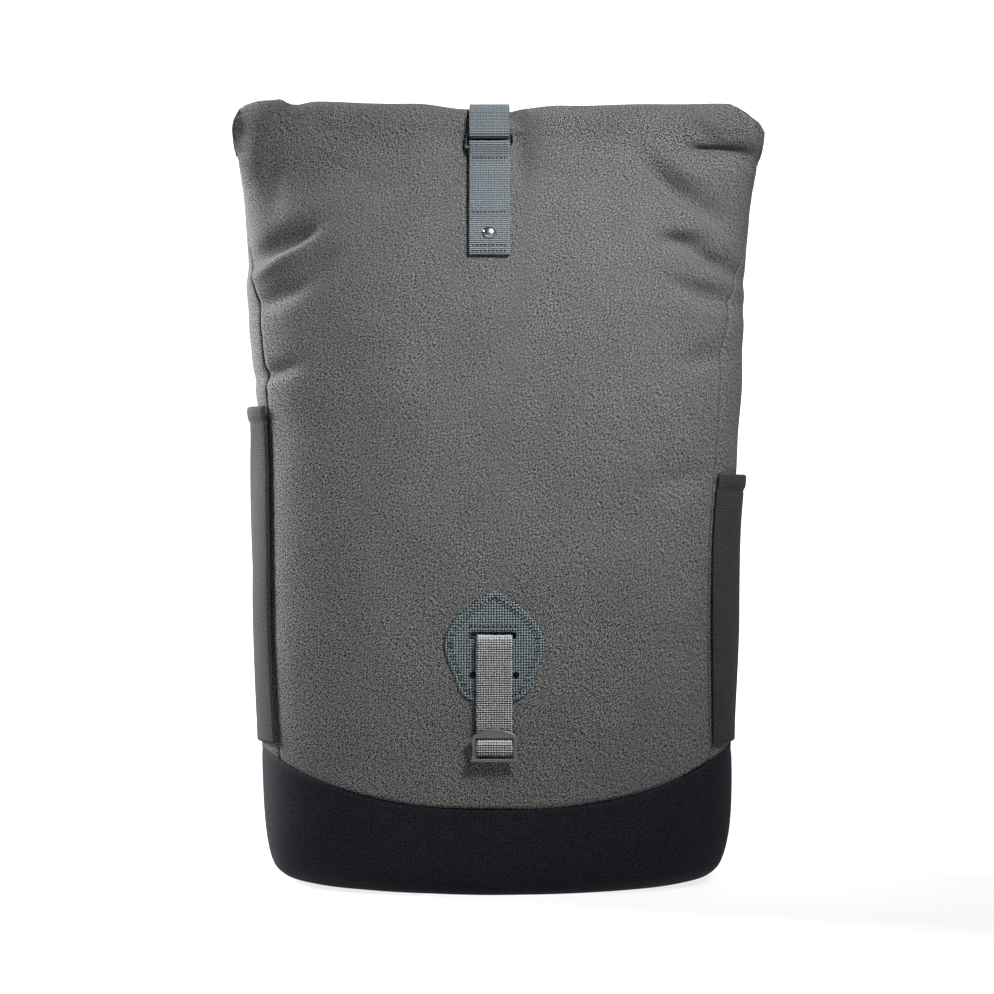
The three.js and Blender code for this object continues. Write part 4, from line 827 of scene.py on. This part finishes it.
CATCH_END = 386.2
RIVET_Z = 400
HOOK_Z = 461
HOOK_BAR = 1.7
HOOK_WINDOW = 7.6
FIRST_LAYER = GAP + WEB / 2  # middle of the webbing that lies on the cloth, and of the one over it
SECOND_LAYER = FIRST_LAYER + WEB + GAP
EYE = HOOK_BAR * math.sqrt(0.5) + GAP + WEB / 2 + 0.1  # radius of the webbing's turn round a bar of the hook
hook_lean = front_lean(HOOK_Z, CLOSING_X)
hook_y = front_reach(HOOK_Z, CLOSING_X) - (EYE + WEB / 2 + 3 * GAP) / math.cos(hook_lean)
bar_offset = HOOK_WINDOW / 2 + HOOK_BAR / 2


def hook_bar(side):
    """The middle of the hook's upper bar (1) or lower bar (-1), as (y, z)."""
    reach = side * bar_offset
    return hook_y + reach * math.sin(hook_lean), HOOK_Z + reach * math.cos(hook_lean)


def closing_strap_piece():
    over = side_profile(CLOSING_X, np.linspace(NECK + 1, NECK + 5, 60))
    inner = moved_aside(over, FIRST_LAYER)[::-1]
    outer = side_profile(CLOSING_X, np.linspace(NECK + 1.4, NECK + 3.2, 40))
    outer = moved_aside(outer, SECOND_LAYER)
    rear = moved_aside(side_profile(CLOSING_X, np.linspace(10.6, 14, 60), False), -FIRST_LAYER)
    lean = math.degrees(hook_lean) + 8
    eye = arc(hook_bar(1), EYE, 360 - lean, 180 - lean)
    path = np.concatenate([rear, inner, eye, outer])
    return web_piece("closing_webbing", path[::-1], WEB_WIDTH, CLOSING_X, 22)


settle(closing_strap_piece(), WEBBING, "webbing", "closing_strap")


def catch_strap_piece():
    eye = hook_bar(-1)
    line = side_profile(CLOSING_X, np.linspace(6, NECK, 500))
    line = line[(line[:, 1] > CATCH_END) & (line[:, 1] < eye[1] - 8)]
    lean = math.degrees(hook_lean)
    top = arc(eye, EYE, -lean, 180 - lean + 15)
    path = np.concatenate([moved_aside(line, FIRST_LAYER), top, moved_aside(line, SECOND_LAYER)[::-1]])
    return web_piece("catch_webbing", path[::-1], WEB_WIDTH, CLOSING_X, 22, rib=0.05, pitch=1.22)


settle(catch_strap_piece(), WEBBING, "webbing", "catch_strap")


def leaning(lean, place):
    """From a piece drawn flat in x and z, facing -Y, to its place on the leaning front."""
    return Matrix.Translation(place) @ Matrix.Rotation(-lean, 4, "X")


def frame_place(x, y, z):
    return Vector((x, y, z)) * 0.001 + SHIFT


def closed_tube(points, radius, segments):
    """A round tube that follows a closed line of points."""
    shape = bmesh.new()
    rings = []
    for index, point in enumerate(points):
        way = Vector(points[(index + 1) % len(points)] - points[index - 1]).normalized()
        side = Vector((0, 1, 0)).cross(way).normalized()
        ring = bmesh.ops.create_circle(shape, segments=segments, radius=radius)["verts"]
        basis = Matrix((side, way.cross(side), way)).transposed().to_4x4()
        bmesh.ops.transform(shape, verts=ring, matrix=Matrix.Translation(Vector(point)) @ basis)
        rings.append(ring)
    for index, ring in enumerate(rings):
        joined = ring + rings[(index + 1) % len(rings)]
        edges = {e for v in joined for e in v.link_edges if all(w in joined for w in e.verts)}
        loops = [e for e in edges if e.verts[0] in ring and e.verts[1] in ring]
        loops += [e for e in edges if e.verts[0] not in ring and e.verts[1] not in ring]
        bmesh.ops.bridge_loops(shape, edges=loops)
    bmesh.ops.recalc_face_normals(shape, faces=shape.faces)
    return shape


def hook_piece():
    """A rectangle of round wire with turned corners."""
    bend = 1.6
    wide = WEB_WIDTH / 2 + GAP + HOOK_BAR / 2 - bend
    high = bar_offset - bend
    points = []
    for index, (x, z) in enumerate(((-wide, -high), (wide, -high), (wide, high), (-wide, high))):
        for turn in np.radians(180 + 90 * index + 15 * np.arange(7)):
            points.append(np.array([x + bend * math.cos(turn), 0, z + bend * math.sin(turn)]))
    shape = closed_tube(points, HOOK_BAR / 2, 12)
    to_metres(shape, leaning(hook_lean, frame_place(CLOSING_X, hook_y, HOOK_Z)))
    return piece_from("hook_frame", shape)


settle(hook_piece(), HOOK_METAL, "hook_metal", "closure_hook")


def rivet_piece():
    """A domed cap with a rolled rim."""
    base = 2 * WEB + 3 * GAP
    profile = [  # radius, height over the webbing
        (0.01, 2.3), (1.2, 2.22), (2.2, 1.95), (3.0, 1.5), (3.6, 0.9), (3.95, 0.35), (4.0, 0.12),
        (3.9, -0.1), (3.4, -0.25), (1.2, -0.25), (1.2, GAP - base), (0.01, GAP - base),
    ]
    shape = bmesh.new()
    verts = [shape.verts.new((radius, -base - height, 0)) for radius, height in profile]
    edges = [shape.edges.new(pair) for pair in zip(verts, verts[1:])]
    bmesh.ops.spin(
        shape, geom=verts + edges, cent=(0, 0, 0), axis=(0, 1, 0), angle=2 * math.pi, steps=40,
        use_merge=True,
    )
    bmesh.ops.remove_doubles(shape, verts=shape.verts, dist=0.02)
    bmesh.ops.recalc_face_normals(shape, faces=shape.faces)
    place = frame_place(CLOSING_X, front_reach(RIVET_Z, CLOSING_X), RIVET_Z)
    to_metres(shape, leaning(front_lean(RIVET_Z, CLOSING_X), place))
    return piece_from("rivet_cap", shape)


settle(rivet_piece(), RIVET_METAL, "rivet_metal", "catch_rivet")

# ---- The lash point ----
LASH_X = -1.2
PATCH_CURVES = (  # pull across, pull up, across, up
    (None, None, 0.36, 0.0),
    (0.62, 0.03, 0.7, 0.1),
    (0.82, 0.24, 0.93, 0.37),
    (1.0, 0.45, 1.0, 0.52),
    (1.0, 0.6, 0.86, 0.7),
    (0.7, 0.8, 0.38, 0.905),
    (0.12, 0.99, 0.0, 1.0),
)


def patch_outline():
    """The patch's right half from the bottom up, as (across, up)."""
    points = []
    for before, curve in zip(PATCH_CURVES, PATCH_CURVES[1:]):
        t = np.linspace(0, 1, 30)[:, None]
        start, pull, end = np.array(before[2:]), np.array(curve[:2]), np.array(curve[2:])
        points.append((1 - t) ** 2 * start + 2 * t * (1 - t) * pull + t * t * end)
    return np.concatenate(points)


PATCH_LINE = patch_outline()
PATCH_BOTTOM, PATCH_WIDTH, PATCH_HEIGHT, PATCH_CLOTH = 118.5, 60, 66, 1.2
SLOT_Z, SLOT_LEFT, SLOT_RIGHT, SLOT_LOW, SLOT_HIGH = 157.6, -14.6, 12.4, -0.95, 1.95
STUD_X, STUD_Z, STUD_RADIUS = 12.9, 134.6, 1.9


def on_front(x, z, out):
    """Points out millimetres in front of the cloth at x and height z."""
    x, z = np.asarray(x, float), np.asarray(z, float)
    station = station_of_height(z)
    half = sections(station)[..., RIGHT]
    for _ in range(3):
        turn = np.degrees(np.arctan(x / half))
        z_there = on_bag(turn, station)[..., 2]
        station = station + (z - z_there) * 0.02
    return on_bag(turn, station, out)


def patch_half(up):
    return np.interp(up, PATCH_LINE[:, 1], PATCH_LINE[:, 0]) * PATCH_WIDTH / 2


def patch_piece():
    up = 0.5 - 0.5 * np.cos(np.linspace(0.0, math.pi, 61))
    for edge in (SLOT_LOW, SLOT_HIGH):
        share = (SLOT_Z + edge - PATCH_BOTTOM) / PATCH_HEIGHT
        up[np.abs(up - share).argmin()] = share
    side = np.linspace(-1, 1, 41)
    side = np.sign(side) * (1 - (1 - np.abs(side)) ** 1.3)
    half = np.maximum(patch_half(up), 0.4)
    x = side[None, :] * half[:, None]
    z = np.broadcast_to((PATCH_BOTTOM + up * PATCH_HEIGHT)[:, None], x.shape)
    from_side, from_end = (1 - np.abs(side))[None, :] * half[:, None] * 1.4, np.minimum(up, 1 - up)
    inside = np.minimum(from_side, from_end[:, None] * 60)
    out = GAP + PATCH_CLOTH - 0.75 * bell(inside, 0.9)
    out += 0.25 * bell(inside - 2, 1.6) - 0.25 * bell(inside - 4.2, 0.7)
    lengths = np.stack([x, z], -1) * 0.001
    piece = sheet_piece("patch_cloth", on_front(LASH_X + x, z, out), PATCH_CLOTH, lengths=lengths)
    shape = bmesh.new()
    shape.from_mesh(piece.data)
    cut = []
    for face in shape.faces:
        middle = (face.calc_center_median() - SHIFT) * 1000
        if SLOT_LEFT < middle.x - LASH_X < SLOT_RIGHT and SLOT_LOW < middle.z - SLOT_Z < SLOT_HIGH:
            cut.append(face)
    bmesh.ops.delete(shape, geom=cut, context="FACES")
    shape.to_mesh(piece.data)
    shape.free()
    return piece


settle(patch_piece(), RIPSTOP, "ripstop", "lash_patch")


def stud_piece(name, side):
    shape = bmesh.new()
    bmesh.ops.create_uvsphere(shape, u_segments=16, v_segments=10, radius=STUD_RADIUS)
    bmesh.ops.scale(shape, verts=shape.verts, vec=(1, 0.5, 1))
    point = on_front(LASH_X + side * STUD_X, STUD_Z, GAP + PATCH_CLOTH + 0.1)
    to_metres(shape, Matrix.Translation(frame_place(*point)))
    return piece_from(name, shape)


for side, word in ((-1, "left"), (1, "right")):
    settle(stud_piece(f"stud_{word}", side), BLACK_STUD_AND_SLOT_SHADE, "black_plastic", f"patch_stud_{word}")


def slot_shade_tube():
    """Painted shade of the slot's opening: a thin black tube, shaped as a bound edge, that follows the slot's
    outline on the patch.
    """
    middle, half = (SLOT_LEFT + SLOT_RIGHT) / 2, (SLOT_RIGHT - SLOT_LEFT) / 2 + 0.3
    points = []
    for turn in np.radians(np.arange(0, 360, 6)):
        x = middle + half * math.copysign(abs(math.cos(turn)) ** 0.25, math.cos(turn))
        z = 0.5 + 1.75 * math.copysign(abs(math.sin(turn)) ** 0.4, math.sin(turn))
        points.append(on_front(LASH_X + x, SLOT_Z + z, GAP + PATCH_CLOTH + 0.05))
    shape = closed_tube(points, 0.42, 8)
    to_metres(shape, Matrix.Translation(SHIFT))
    return piece_from("slot_shade_tube", shape)


# The black tube paints the shade inside the slot's opening.
settle(slot_shade_tube(), BLACK_STUD_AND_SLOT_SHADE, "ripstop")

SLIDER_TOP, SLIDER_HEIGHT, SLIDER_WIDTH, SLIDER_THICK = 102, 19.2, 29, 2.2
SLIDER_MIDDLE, SLIDER_BAR = SLIDER_TOP - SLIDER_HEIGHT * 0.56, 1.2
SLIDER_CROWN, SLIDER_FOOT = 5, 2.0
slider_y = front_reach(SLIDER_TOP, LASH_X) - (GAP + PATCH_CLOTH + WEB + GAP + SLIDER_THICK / 2 + 1.6)


def lash_strap_piece():
    """Out of the slot, down, forwards through the slider's upper window and back through its lower one."""
    half = SLIDER_THICK / 2 + GAP + WEB / 2
    slot_y = front_reach(SLOT_Z, LASH_X)
    out = slot_y - (GAP + PATCH_CLOTH + GAP + WEB / 2)
    behind, ahead = slider_y + half, slider_y - half
    bottom = SLIDER_TOP - SLIDER_HEIGHT
    upper = (SLIDER_MIDDLE + SLIDER_BAR + SLIDER_TOP - SLIDER_CROWN) / 2
    lower = (SLIDER_MIDDLE - SLIDER_BAR + bottom + SLIDER_FOOT) / 2
    path = [
        (slot_y - GAP, SLOT_Z),
        (out, SLOT_Z),
        (out - 2.2, SLOT_Z - 1.5),
        (out - 3.2, SLOT_Z - 5),
        (mix(out - 3.2, behind, 0.5), mix(SLOT_Z, SLIDER_TOP, 0.5)),
        (behind, SLIDER_TOP + 2),
        (behind, upper + 0.8),
        (ahead, upper - 0.7),
        (ahead, lower + 0.7),
        (behind, lower - 0.8),
        (behind, bottom + 0.6),
    ]
    return web_piece("lash_webbing", np.array(path)[::-1], 21.5, LASH_X, 20, step=0.22, rib=0.22, soften=30)


settle(lash_strap_piece(), LASH_WEBBING, "lash_webbing", "lash_strap")


def ease_edges(shape, radius):
    corners = [e for e in shape.edges if len(e.link_faces) == 2 and e.calc_face_angle(0) > 0.6]
    bmesh.ops.bevel(
        shape, geom=corners, offset=radius, segments=3, profile=0.5, affect="EDGES", material=-1,
    )


def plate_with_windows(name, xs, zs, outline, windows, thickness, edge, place):
    """A flat plate on a grid of lines moved by outline, cut through at windows, its edges eased."""
    shape = bmesh.new()
    bmesh.ops.create_grid(shape, x_segments=len(xs) - 1, y_segments=len(zs) - 1, size=1)
    for vert in shape.verts:
        i = round((vert.co.x + 1) / 2 * (len(xs) - 1))
        j = round((vert.co.y + 1) / 2 * (len(zs) - 1))
        x, z = outline(xs[i], zs[j])
        vert.co = (x, 0, z)
    cut = []
    for face in shape.faces:
        middle = face.calc_center_median()
        if any(abs(middle.x) < w[0] and w[1] < middle.z < w[2] for w in windows):
            cut.append(face)
    bmesh.ops.delete(shape, geom=cut, context="FACES")
    made = bmesh.ops.extrude_face_region(shape, geom=shape.faces[:] + shape.edges[:] + shape.verts[:])
    moved = [v for v in made["geom"] if isinstance(v, bmesh.types.BMVert)]
    bmesh.ops.translate(shape, verts=moved, vec=(0, -thickness, 0))
    bmesh.ops.translate(shape, verts=shape.verts, vec=(0, thickness / 2, 0))
    bmesh.ops.recalc_face_normals(shape, faces=shape.faces)
    ease_edges(shape, edge)
    to_metres(shape, place)
    return piece_from(name, shape)


def slider_piece():
    half, bottom = SLIDER_WIDTH / 2, SLIDER_TOP - SLIDER_HEIGHT
    inside = half - 3.3
    xs = [-half, -half + 1.6] + list(np.linspace(-inside, inside, 15)) + [half - 1.6, half]
    middle, crown = SLIDER_MIDDLE - bottom, SLIDER_HEIGHT - SLIDER_CROWN
    bars = [0, SLIDER_FOOT, middle - SLIDER_BAR, middle + SLIDER_BAR, crown, SLIDER_HEIGHT]
    zs = sorted(bars + [1.0, 3.6, 5.0, 10.6, 12.4, 16.0, 17.6])

    def outline(x, z):
        """The sides are waisted and the crown is arched."""
        waist = 1.25 * math.sin(math.pi * min(1, max(0, (z - 0.5) / 14.5))) ** 1.2
        share = abs(x) / half
        narrow = x * (1 - waist / half * smooth((share - 0.72) / 0.2))
        arch = 1 - 0.25 * share ** 3
        raised = z if z < crown else mix(crown, SLIDER_HEIGHT * arch, (z - crown) / SLIDER_CROWN)
        raised += 0.35 * share ** 6 if z <= 1 else 0
        return float(narrow), bottom + raised

    windows = [
        (inside, bottom + SLIDER_FOOT, SLIDER_MIDDLE - SLIDER_BAR),
        (inside, SLIDER_MIDDLE + SLIDER_BAR, SLIDER_TOP - SLIDER_CROWN),
    ]
    place = Matrix.Translation(frame_place(LASH_X, slider_y, 0))
    return plate_with_windows("slider_frame", xs, zs, outline, windows, SLIDER_THICK, 0.6, place)


settle(slider_piece(), SLIDER_METAL, "slider_metal", "lash_slider")


# ---- Stitches ----
def stitches(name, rows, length, thick):
    """Short threads, one at each place and way of the rows, each a stretched ball of a few faces."""
    shape = bmesh.new()
    for place, way, face in rows:
        made = bmesh.ops.create_icosphere(shape, subdivisions=1, radius=1)["verts"]
        way, face = Vector(way).normalized(), Vector(face).normalized()
        side = way.cross(face).normalized()
        basis = Matrix((way * length / 2, side * thick, face * thick)).transposed().to_4x4()
        bmesh.ops.transform(shape, verts=made, matrix=Matrix.Translation(place) @ basis)
    to_metres(shape, Matrix.Translation(SHIFT))
    return piece_from(name, shape)


def catch_stitches():
    rows = []
    for z in (452.0, 449.5, 414.3, 393.3, 389.7):
        out = GAP * 3 + 2 * WEB + 0.1
        lean = front_lean(z, CLOSING_X)
        y = front_reach(z, CLOSING_X) - out / math.cos(lean)
        for x in np.arange(-9.6, 9.7, 2.4):
            if abs(z - RIVET_Z) > 5 or abs(x) > 5:
                rows.append(((CLOSING_X + x, y, z), (1, 0, 0), (0, -1, math.sin(lean))))
    return stitches("catch_stitches", rows, 1.5, 0.42)


# Dark stitches: thread with painted shade of the stitch holes.
settle(catch_stitches(), THREAD_AND_HOLE_SHADE, "webbing")


STITCH_STEP = 2.6


def on_patch(x, z):
    return tuple(on_front(LASH_X + x, z, GAP + PATCH_CLOTH + 0.12))


def patch_rows(inset, start):
    """Places and ways of stitches that follow the patch's edge at a distance inside it."""
    line = np.concatenate([PATCH_LINE, (PATCH_LINE * (-1, 1))[::-1]])
    place = np.stack([line[:, 0] * PATCH_WIDTH / 2, PATCH_BOTTOM + line[:, 1] * PATCH_HEIGHT], -1)
    way = np.gradient(np.vstack([place[-1:], place, place[:1]]), axis=0)[1:-1]
    way /= np.maximum(np.linalg.norm(way, axis=1), 1e-6)[:, None]
    inner = place + np.stack([-way[:, 1], way[:, 0]], -1) * inset
    steps = distances(inner)
    rows = []
    for along in np.arange(start, steps[-1], STITCH_STEP):
        x, z = (float(np.interp(along, steps, inner[:, k])) for k in (0, 1))
        x2, z2 = (float(np.interp(along + 0.5, steps, inner[:, k])) for k in (0, 1))
        rows.append((on_patch(x, z), (x2 - x, 0, z2 - z), (0, -1, 0)))
    return rows


def patch_stitches(name, start):
    """Two rows round the patch, one at each side of the strap and one over the slot."""
    rows = patch_rows(3.4, start) + patch_rows(4.9, STITCH_STEP / 2 - start)
    for side in (-14.9, 20.6):
        for z in np.arange(131.0 + start, 163, STITCH_STEP):
            rows.append((on_patch(side, z), (0, 0, 1), (0, -1, 0)))
    for x in np.arange(-14.0 + start, 14, STITCH_STEP):
        rows.append((on_patch(x, 163.5), (1, 0, 0), (0, -1, 0)))
    return stitches(name, rows, 1.6, 0.4)


# The dark stitches are thread with painted shade of the stitch holes; the grey ones between them are plain
# thread.
settle(patch_stitches("patch_stitches_dark", 0.0), THREAD_AND_HOLE_SHADE, "ripstop")
settle(patch_stitches("patch_stitches_light", STITCH_STEP / 2), GREY_THREAD, "ripstop")


# ---- The back ----
PRESSURE, VOXEL, MOST_SWELLING, CLOTH_STEPS = 4.0, 0.0045, 0.006, 20


def swollen(name, node, shrink):
    """A padded piece: the frame's solid, drawn in a little, evened out and blown up as cloth."""
    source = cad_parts[node]
    mesh = source.data.copy()
    mesh.materials.clear()
    mesh.transform(source.matrix_world)
    piece = bpy.data.objects.new(name, mesh)
    bpy.context.collection.objects.link(piece)
    shape = bmesh.new()
    shape.from_mesh(mesh)
    bmesh.ops.remove_doubles(shape, verts=shape.verts, dist=1e-6)
    bmesh.ops.recalc_face_normals(shape, faces=shape.faces)
    for vert in shape.verts:
        vert.co -= vert.normal * shrink
    shape.to_mesh(mesh)
    shape.free()
    even = piece.modifiers.new("even", "REMESH")
    even.mode = "VOXEL"
    even.voxel_size = VOXEL
    apply_modifiers(piece)
    rest = coordinates(piece)
    cloth = piece.modifiers.new("filling", "CLOTH")
    cloth.settings.use_pressure = True
    cloth.settings.uniform_pressure_force = PRESSURE
    cloth.settings.effector_weights.gravity = 0
    cloth.point_cache.frame_end = CLOTH_STEPS
    for step in range(1, CLOTH_STEPS + 1):
        bpy.context.scene.frame_set(step)
    apply_modifiers(piece)
    bpy.context.scene.frame_set(1)
    move = coordinates(piece) - rest
    size = np.linalg.norm(move, axis=1)[:, None]
    move *= np.minimum(1, MOST_SWELLING / np.maximum(size, 1e-9))
    piece.data.vertices.foreach_set("co", (rest + move).ravel())
    piece.data.shade_smooth()
    finer = piece.modifiers.new("finer", "SUBSURF")
    finer.levels = finer.render_levels = 1
    apply_modifiers(piece)
    return piece


def apply_modifiers(piece):
    graph = bpy.context.evaluated_depsgraph_get()
    made = bpy.data.meshes.new_from_object(piece.evaluated_get(graph))
    old = piece.data
    piece.modifiers.clear()
    piece.data = made
    made.name = piece.name
    bpy.data.meshes.remove(old)


def coordinates(piece):
    flat = np.empty(len(piece.data.vertices) * 3)
    piece.data.vertices.foreach_get("co", flat)
    return flat.reshape(-1, 3)


def back_face(points):
    """How far back the cloth of the back lies behind each point, in metres."""
    stations = np.linspace(2, GUSSET_TIP - 1, 300)
    across, heights = np.linspace(-120, 120, 25), np.linspace(60, 400, 60)
    lines = [side_profile(x, stations, False) for x in across]
    table = np.array([np.interp(heights, line[:, 1], line[:, 0]) for line in lines])
    x = np.clip((points[:, 0] - SHIFT.x) * 1000, across[0] + 0.1, across[-1] - 0.1)
    z = np.clip(points[:, 2] * 1000, heights[0] + 0.1, heights[-1] - 0.1)
    i, j = (x - across[0]) / (across[1] - across[0]), (z - heights[0]) / (heights[1] - heights[0])
    i0, j0 = i.astype(int), j.astype(int)
    low = mix(table[i0, j0], table[i0 + 1, j0], i - i0)
    high = mix(table[i0, j0 + 1], table[i0 + 1, j0 + 1], i - i0)
    return mix(low, high, j - j0) * 0.001 + SHIFT.y


def back_pad_piece():
    """The cushion, with one channel down it and three across, kept outside the back's cloth."""
    piece = swollen("back_cushion", "back_pad", 0.0015)
    points = coordinates(piece)
    x, z = points[:, 0] * 1000, points[:, 2] * 1000
    outer = smooth((points[:, 1] - np.quantile(points[:, 1], 0.35)) / 0.004)
    deep = 3.2 * bell(x, 4.0) * smooth((118 - np.abs(z - 232)) / 20)
    for line in (172, 232, 292):
        deep += 2.4 * bell(z - line - 0.0012 * x * x, 3.4) * smooth((104 - np.abs(x)) / 14)
    points[:, 1] -= np.minimum(deep, 3.6) * outer * 0.001
    points[:, 1] = np.maximum(points[:, 1], back_face(points) + 0.0006)
    piece.data.vertices.foreach_set("co", points.ravel())
    return piece


settle(back_pad_piece(), MESH, "padding_mesh", "back_pad")


for word in ("left", "right"):
    node = f"shoulder_strap_{word}"
    settle(swollen(f"shoulder_pad_{word}", node, 0.001), MESH, "padding_mesh", node)


def carried(name, node, edge):
    """A copy of a frame part, its doubles merged, its flat faces joined and its edges eased."""
    shape = bmesh.new()
    shape.from_mesh(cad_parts[node].data)
    bmesh.ops.remove_doubles(shape, verts=shape.verts, dist=1e-6)
    bmesh.ops.dissolve_limit(shape, angle_limit=math.radians(2), verts=shape.verts, edges=shape.edges)
    ease_edges(shape, edge)
    piece = piece_from(name, shape)
    flat = coordinates(piece)[:, [0, 2]]
    flat -= flat.mean(axis=0)
    place = flat @ np.linalg.svd(flat, full_matrices=False)[2].T
    loops = np.empty(len(piece.data.loops), int)
    piece.data.loops.foreach_get("vertex_index", loops)
    layer = piece.data.uv_layers.new(name="cloth")
    layer.data.foreach_set("uv", place[loops][:, ::-1].ravel())
    return piece


for word in ("left", "right"):
    for name, node, finish, slot in (
        ("adjuster_frame", "strap_adjuster", PLASTIC, "black_plastic"),
        ("tail_webbing", "adjusting_web", BLACK_WEBBING, "webbing"),
        ("anchor_triangle", "anchor_tab", BOOT_CLOTH, "boot_cloth"),
    ):
        settle(carried(f"{name}_{word}", f"{node}_{word}", 0.0003), finish, slot, f"{node}_{word}")
settle(carried("haul_webbing", "haul_loop", 0.0002), BLACK_WEBBING, "webbing", "haul_loop")


# ---- The studio ----
def studio_surface(name, profile, half_width, glow, tone):
    """A white sheet swept sideways from points (y, z) of its side view."""
    finish = Finish(name, rough=0.9, specular=0.1)
    finish.set("Base Color", (tone, tone, tone, 1))
    finish.set("Emission Color", (1, 1, 1, 1))
    finish.set("Emission Strength", glow)
    shape = bmesh.new()
    verts = [shape.verts.new((-half_width, y, z)) for y, z in profile]
    edges = [shape.edges.new(pair) for pair in zip(verts, verts[1:])]
    made = bmesh.ops.extrude_edge_only(shape, edges=edges)["geom"]
    moved = [v for v in made if isinstance(v, bmesh.types.BMVert)]
    bmesh.ops.translate(shape, verts=moved, vec=(2 * half_width, 0, 0))
    bmesh.ops.recalc_face_normals(shape, faces=shape.faces)
    return piece_from(name, shape, finish.material)


cove = [(1.0 + 0.9 * math.sin(a), 0.9 - 0.9 * math.cos(a)) for a in np.radians(np.arange(0, 91, 6))]
studio_surface("studio_floor", [(-3.0, 0.0), (1.0, 0.0)], 3.0, 0.8, 0.2)
studio_surface("studio_backdrop", cove + [(1.9, 5.0)], 3.0, 0.9, 0.5)


def softbox(name, place, target, size, power, spread=180):
    light = bpy.data.lights.new(name, "AREA")
    light.shape = "RECTANGLE"
    light.spread = math.radians(spread)
    light.size, light.size_y = size
    light.energy = power
    lamp = bpy.data.objects.new(name, light)
    lamp.location = place
    lamp.rotation_euler = (Vector(target) - Vector(place)).to_track_quat("-Z", "Y").to_euler()
    bpy.context.collection.objects.link(lamp)


softbox("key_softbox", (0.46, -0.76, 1.02), (0.03, -0.08, 0.34), (0.28, 0.28), 2.0, 38)
softbox("left_softbox", (-0.84, 0.24, 0.62), (0, 0, 0.38), (0.3, 0.7), 56)
softbox("backdrop_lamp", (0.0, 0.9, 1.9), (0, 1.9, 0.5), (1.5, 0.4), 20)

world = bpy.data.worlds.new("studio_air")
world.use_nodes = True
world.node_tree.nodes["Background"].inputs[0].default_value = (1, 1, 1, 1)
seen = world.node_tree.nodes.new("ShaderNodeLightPath").outputs["Is Camera Ray"]
strength = world.node_tree.nodes.new("ShaderNodeMath")
strength.operation = "MULTIPLY_ADD"
strength.inputs[1].default_value, strength.inputs[2].default_value = 0.8, 0.06
world.node_tree.links.new(seen, strength.inputs[0])
world.node_tree.links.new(strength.outputs[0], world.node_tree.nodes["Background"].inputs[1])
bpy.context.scene.world = world

camera_data = bpy.data.cameras.new("portrait_camera")
camera_data.sensor_width = 36
camera_data.lens = 84.6
camera = bpy.data.objects.new("portrait_camera", camera_data)
camera.location = (0.0006, -1.499, 0.241)
camera.rotation_euler = (math.pi / 2, 0, 0)
bpy.context.collection.objects.link(camera)
bpy.context.scene.camera = camera
bpy.context.scene.view_settings.view_transform = "Standard"
